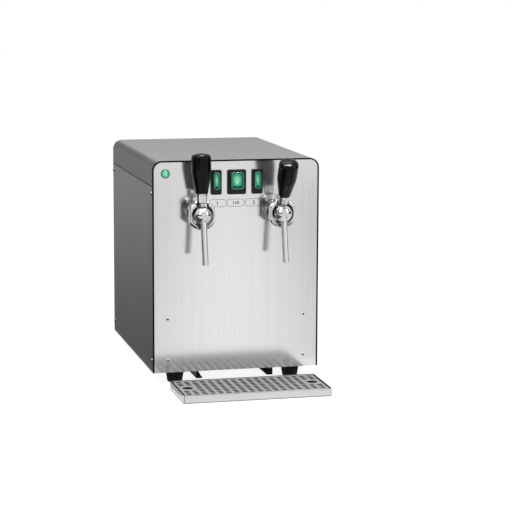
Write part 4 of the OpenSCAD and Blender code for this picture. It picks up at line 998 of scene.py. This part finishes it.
def pan_steel(name, colour, roughness, grain):
    """Brushed steel with painted shade inside the pan, a dark line down the middle of each rounded
    corner, and painted shade along its lower edge.
    """
    finish = Finish(name)
    fine = finish.noise(grain, 3.0, 0.6)
    mottle = finish.noise((0.02, 0.02, 0.02), 4.0, 0.6)
    shade = finish.scaled(colour, 0.95 + 0.1 * fine)
    inside = 1 - outline_distance(finish, "drip_pan", 8 * MM, 0, 1).ramp(-1.15 * MM, -0.8 * MM)
    # Near-black painted shade inside the pan, under the grate, varied a little by noise
    painted_inner_shade = finish.mixed(mottle, (0.02, 0.02, 0.02), (0.06, 0.06, 0.055))
    low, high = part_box("drip_pan")
    x, y, z = finish.axes()
    across = abs(x - (low[0] + high[0]) / 2) - (high[0] - low[0]) / 2
    along = abs(y - (low[1] + high[1]) / 2) - (high[1] - low[1]) / 2
    # A dark line down the middle of each rounded corner
    corner_line = (1 - abs(across - along).ramp(0.4 * MM, 1.1 * MM)) * across.ramp(-5 * MM, -4 * MM)
    # Painted shade along the pan's lower edge, next to the floor
    edge = 1 - z.ramp(0.7 * MM, 1.8 * MM)
    line = corner_line.math("MAXIMUM", edge)
    shade = finish.mixed(0.85 * line, shade, (0.06, 0.06, 0.06))
    return finish.surface(
        base_color=finish.mixed(inside, shade, painted_inner_shade),
        metallic=1.0 - 0.7 * inside,
        roughness=roughness + 0.06 * fine + 0.3 * inside,
        normal=finish.bump(fine, 0.000012),
    )


def punched_steel(name, colour, roughness, grain):
    """Satin steel that scatters light widely, with painted shade down the walls of its holes."""
    finish = Finish(name)
    fine = finish.noise(grain, 3.0, 0.6)
    mottle = finish.noise((0.02, 0.02, 0.02), 4.0, 0.6)
    shade = finish.scaled(colour, 0.95 + 0.1 * fine)
    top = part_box("drip_grate")[1][2]
    # Painted shade on everything below the top face: the walls of the holes and the skirt
    wall = 1 - finish.axes()[2].ramp(top - 0.35 * MM, top - 0.1 * MM)
    return finish.surface(
        base_color=finish.mixed(wall, shade, (0.012, 0.012, 0.012)),
        metallic=0.75 - 0.3 * wall,
        roughness=roughness + 0.06 * fine + 0.1 * (mottle - 0.5),
        normal=finish.bump(fine, 0.000012),
    )


class DISPENSER_OT_tray(bpy.types.Operator):
    """Finish the drip pan and its perforated grate"""

    bl_idname = "dispenser.tray"
    bl_label = "Drip tray"

    def execute(self, context):
        colour = context.scene.dispenser_steel.tray_colour
        along = (0.03, 0.0007, 0.0007)
        dress("tray_steel", pan_steel("tray_steel", colour, 0.32, along))
        darker = tuple(0.62 * part for part in colour)
        dress("grate_steel", punched_steel("grate_steel", darker, 0.4, along))
        return {"FINISHED"}


class DISPENSER_OT_inside(bpy.types.Operator):
    """Finish the tank, element, thermostat, pumps, hoses and wiring inside"""

    bl_idname = "dispenser.inside"
    bl_label = "Inner parts"

    def execute(self, context):
        steel = context.scene.dispenser_steel
        around = (0.0008, 0.0008, 0.0008)
        dress("tank_steel", brushed_steel("tank_steel", steel.tray_colour, 0.24, around, 0.00001))
        element = brushed_steel("element_steel", (0.35, 0.31, 0.27), 0.35, around, 0.00001)
        dress("element_steel", element)
        dress("thermostat_case", moulded_plastic("thermostat_case", (0.62, 0.6, 0.54), 0.5))
        dress("pump_case", moulded_plastic("pump_case", (0.03, 0.03, 0.035), 0.45))
        dress("hose_silicone", moulded_plastic("hose_silicone", (0.72, 0.7, 0.66), 0.35))
        dress("block_plastic", moulded_plastic("block_plastic", (0.75, 0.73, 0.68), 0.45))
        sleeve = moulded_plastic("loom_sleeve", (0.02, 0.02, 0.02), 0.6, 0.0012, 0.0001)
        dress("loom_sleeve", sleeve)
        return {"FINISHED"}


def turned_ring(form, profile, centre, sides=64):
    """A ring turned about an axis along Y; its profile lists place along Y and radius."""
    rows = []
    for side in range(sides):
        turn = 2 * math.pi * side / sides
        row = []
        for y, radius in profile:
            x = centre[0] + radius * math.sin(turn)
            z = centre[1] + radius * math.cos(turn)
            row.append(form.verts.new((x, y, z)))
        rows.append(row)
    for side in range(sides):
        bridge(form, rows[side], rows[(side + 1) % sides], True)


def barb_profile(back):
    """Saw-toothed outline of a hose tail's barbs, closed under the tail's skin."""
    outline = [(back, BARB_ROOT)]
    for barb in range(BARB_COUNT):
        start = back + barb * BARB_PITCH
        outline += [(start, BARB_HIGH), (start + BARB_PITCH, BARB_LOW)]
    return outline + [(back + BARB_COUNT * BARB_PITCH, BARB_ROOT)]


def rib(form, centre, turn, start, end):
    """One tapered grip rib along Y on the gland's nut."""
    foot, top, root, rise = 0.9 * MM, 0.45 * MM, -0.4 * MM, 0.6 * MM
    corners = ((-foot, root), (-top, rise), (top, rise), (foot, root))
    rows = []
    for y in (start, end):
        row = []
        for side, height in corners:
            out = RIB_RADIUS + height
            x = centre[0] + out * math.sin(turn) + side * math.cos(turn)
            z = centre[1] + out * math.cos(turn) - side * math.sin(turn)
            row.append(form.verts.new((x, y, z)))
        rows.append(row)
    bridge(form, rows[0], rows[1], True)
    form.faces.new(rows[0])
    form.faces.new(rows[1][::-1])


def finished_mesh(form, name):
    """Turns a form into a mesh with its faces turned outward."""
    bmesh.ops.recalc_face_normals(form, faces=form.faces)
    return plain_mesh(form, name)


class DISPENSER_OT_rear(bpy.types.Operator):
    """Finish the rear fittings and add their barbs and grip ribs"""

    bl_idname = "dispenser.rear"
    bl_label = "Rear fittings"

    def execute(self, context):
        around = (0.0008, 0.0008, 0.0008)
        brass = brushed_steel("brass_fitting", (0.78, 0.56, 0.27), 0.26, around, 0.00001)
        dress("brass_fitting", brass)
        low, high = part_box("inlet_fittings")
        centre_z = (low[2] + high[2]) / 2
        form = bmesh.new()
        for x in (-TAIL_PLACE, TAIL_PLACE):
            turned_ring(form, barb_profile(high[1] - BARB_START), (x, centre_z))
        mesh_piece("inlet_barbs", finished_mesh(form, "inlet_barbs"), "housing", brass)
        plastic = moulded_plastic("gland_plastic", (0.02, 0.02, 0.021), 0.5)
        dress("gland_plastic", plastic)
        low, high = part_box("cable_gland")
        centre = ((low[0] + high[0]) / 2, (low[2] + high[2]) / 2)
        form = bmesh.new()
        for number in range(RIB_COUNT):
            turn = 2 * math.pi * number / RIB_COUNT
            rib(form, centre, turn, high[1] - RIB_START, high[1] - RIB_END)
        mesh_piece("gland_ribs", finished_mesh(form, "gland_ribs"), "housing", plastic)
        return {"FINISHED"}


def flat_ribbon(form, points, width, y, closed=False):
    """Adds a flat ribbon of a width and a film's thickness that follows points in the XZ plane."""
    count = len(points)
    sections = []
    for index, point in enumerate(points):
        before = points[index - 1] if closed or index else point
        after = points[(index + 1) % count] if closed or index < count - 1 else point
        along = (Vector(after) - Vector(before)).normalized()
        across = Vector((-along.y, along.x)) * width / 2
        left, right = Vector(point) + across, Vector(point) - across
        corners = ((left, y), (right, y), (right, y + FILM), (left, y + FILM))
        sections.append([form.verts.new((corner.x, level, corner.y)) for corner, level in corners])
    for first, second in zip(sections, sections[1:]):
        bridge(form, first, second, True)
    if closed:
        bridge(form, sections[-1], sections[0], True)
    else:
        form.faces.new(sections[0])
        form.faces.new(sections[-1][::-1])


def arc(centre, radius, start, end, steps=10):
    """Points on an arc in the XZ plane, with its angles in degrees."""
    points = []
    for step in range(steps + 1):
        angle = math.radians(start + (end - start) * step / steps)
        points.append((centre[0] + radius * math.cos(angle), centre[1] + radius * math.sin(angle)))
    return points


def ring(centre, radius):
    """Points round a circle in the XZ plane, for a closed ribbon."""
    return arc(centre, radius, 0, 345, 24)


def rounded_loop(centre, width, height, radius):
    """Points round a rounded rectangle in the XZ plane."""
    points = []
    for turn, (side, rise) in enumerate(((1, 1), (-1, 1), (-1, -1), (1, -1))):
        corner = (
            centre[0] + side * (width / 2 - radius),
            centre[1] + rise * (height / 2 - radius),
        )
        points += arc(corner, radius, 90 * turn, 90 * turn + 90, 8)
    return points


def printed_ink(name, colour):
    """Screen printing ink, paler where it is worn."""
    finish = Finish(name)
    wear = finish.noise((0.0015, 0.0015, 0.0015), 3.0)
    pale = tuple(part + 0.04 for part in colour)
    return finish.surface(
        base_color=finish.mixed(wear.ramp(0.5, 0.8), tuple(colour), pale), roughness=0.5
    )


class DISPENSER_OT_print(bpy.types.Operator):
    """Print the frames and plain marks under the switches"""

    bl_idname = "dispenser.print"
    bl_label = "Printed marks"

    def execute(self, context):
        frame_ink = printed_ink("frame_print", context.scene.dispenser_switches.print_colour)
        mark_ink = printed_ink("mark_print", context.scene.dispenser_switches.frame_colour)
        level = PANEL_FACE - FILM
        for name, centre in LABEL_PLACES.items():
            form = bmesh.new()
            middle = (centre, LABEL_LEVEL)
            loop = rounded_loop(middle, LABEL_WIDTH, LABEL_HEIGHT, LABEL_RADIUS)
            flat_ribbon(form, loop, LABEL_LINE, level, True)
            piece = f"print_{name}"
            mesh_piece(piece, finished_mesh(form, piece), "housing", frame_ink)
            form = bmesh.new()
            for stroke, closed in mark_strokes(name, middle):
                flat_ribbon(form, stroke, MARK_LINE, level, closed)
            piece = f"mark_{name}"
            mesh_piece(piece, finished_mesh(form, piece), "housing", mark_ink)
        return {"FINISHED"}


def mark_strokes(name, middle):
    """The strokes of a plain figure, or of the on and off marks, and whether each is a ring."""
    x, z = middle
    top, foot = z + MARK_HALF, z - MARK_HALF
    if name == "1":
        flag = [(x - 1.5 * MM, top - 1.5 * MM), (x, top - 0.4 * MM)]
        return [([(x, top), (x, foot)], False), (flag, False)]
    if name == "2":
        bow = arc((x, top - 1.1 * MM), 1.1 * MM, 160, -35, 12)
        base = [(x - 1.6 * MM, foot), (x + 1.6 * MM, foot)]
        return [(bow + [(x - 1.2 * MM, foot)], False), (base, False)]
    on = [(x - 4 * MM, top), (x - 4 * MM, foot)]
    slash = [(x - 0.8 * MM, foot), (x + 0.8 * MM, top)]
    off = ring((x + 4.2 * MM, z), 1.8 * MM)
    return [(on, False), (slash, False), (off, True)]


STEPS = (
    DISPENSER_OT_stage,
    DISPENSER_OT_housing,
    DISPENSER_OT_print,
    DISPENSER_OT_feet,
    DISPENSER_OT_taps,
    DISPENSER_OT_switches,
    DISPENSER_OT_lamp,
    DISPENSER_OT_tray,
    DISPENSER_OT_inside,
    DISPENSER_OT_rear,
)


class DISPENSER_PT_panel(bpy.types.Panel):
    """Lists the steps and the settings in the sidebar"""

    bl_idname = "DISPENSER_PT_panel"
    bl_label = "Dispenser"
    bl_space_type = "VIEW_3D"
    bl_region_type = "UI"
    bl_category = "Dispenser"

    def draw(self, context):
        for step in STEPS:
            self.layout.operator(step.bl_idname)
        for name in SETTINGS:
            group = getattr(context.scene, name)
            box = self.layout.box()
            for key in group.__annotations__:
                box.prop(group, key)


SETTINGS = {
    "dispenser_stage": StageSettings,
    "dispenser_steel": SteelSettings,
    "dispenser_taps": TapSettings,
    "dispenser_switches": SwitchSettings,
}


def register():
    for name, group in SETTINGS.items():
        bpy.utils.register_class(group)
        setattr(bpy.types.Scene, name, PointerProperty(type=group))
    for item in (*STEPS, DISPENSER_PT_panel):
        bpy.utils.register_class(item)


def unregister():
    for item in (DISPENSER_PT_panel, *reversed(STEPS)):
        bpy.utils.unregister_class(item)
    for name, group in SETTINGS.items():
        delattr(bpy.types.Scene, name)
        bpy.utils.unregister_class(group)


def main():
    register()
    for step in STEPS:
        group, name = step.bl_idname.split(".")
        getattr(getattr(bpy.ops, group), name)()


if __name__ == "__main__":
    main()
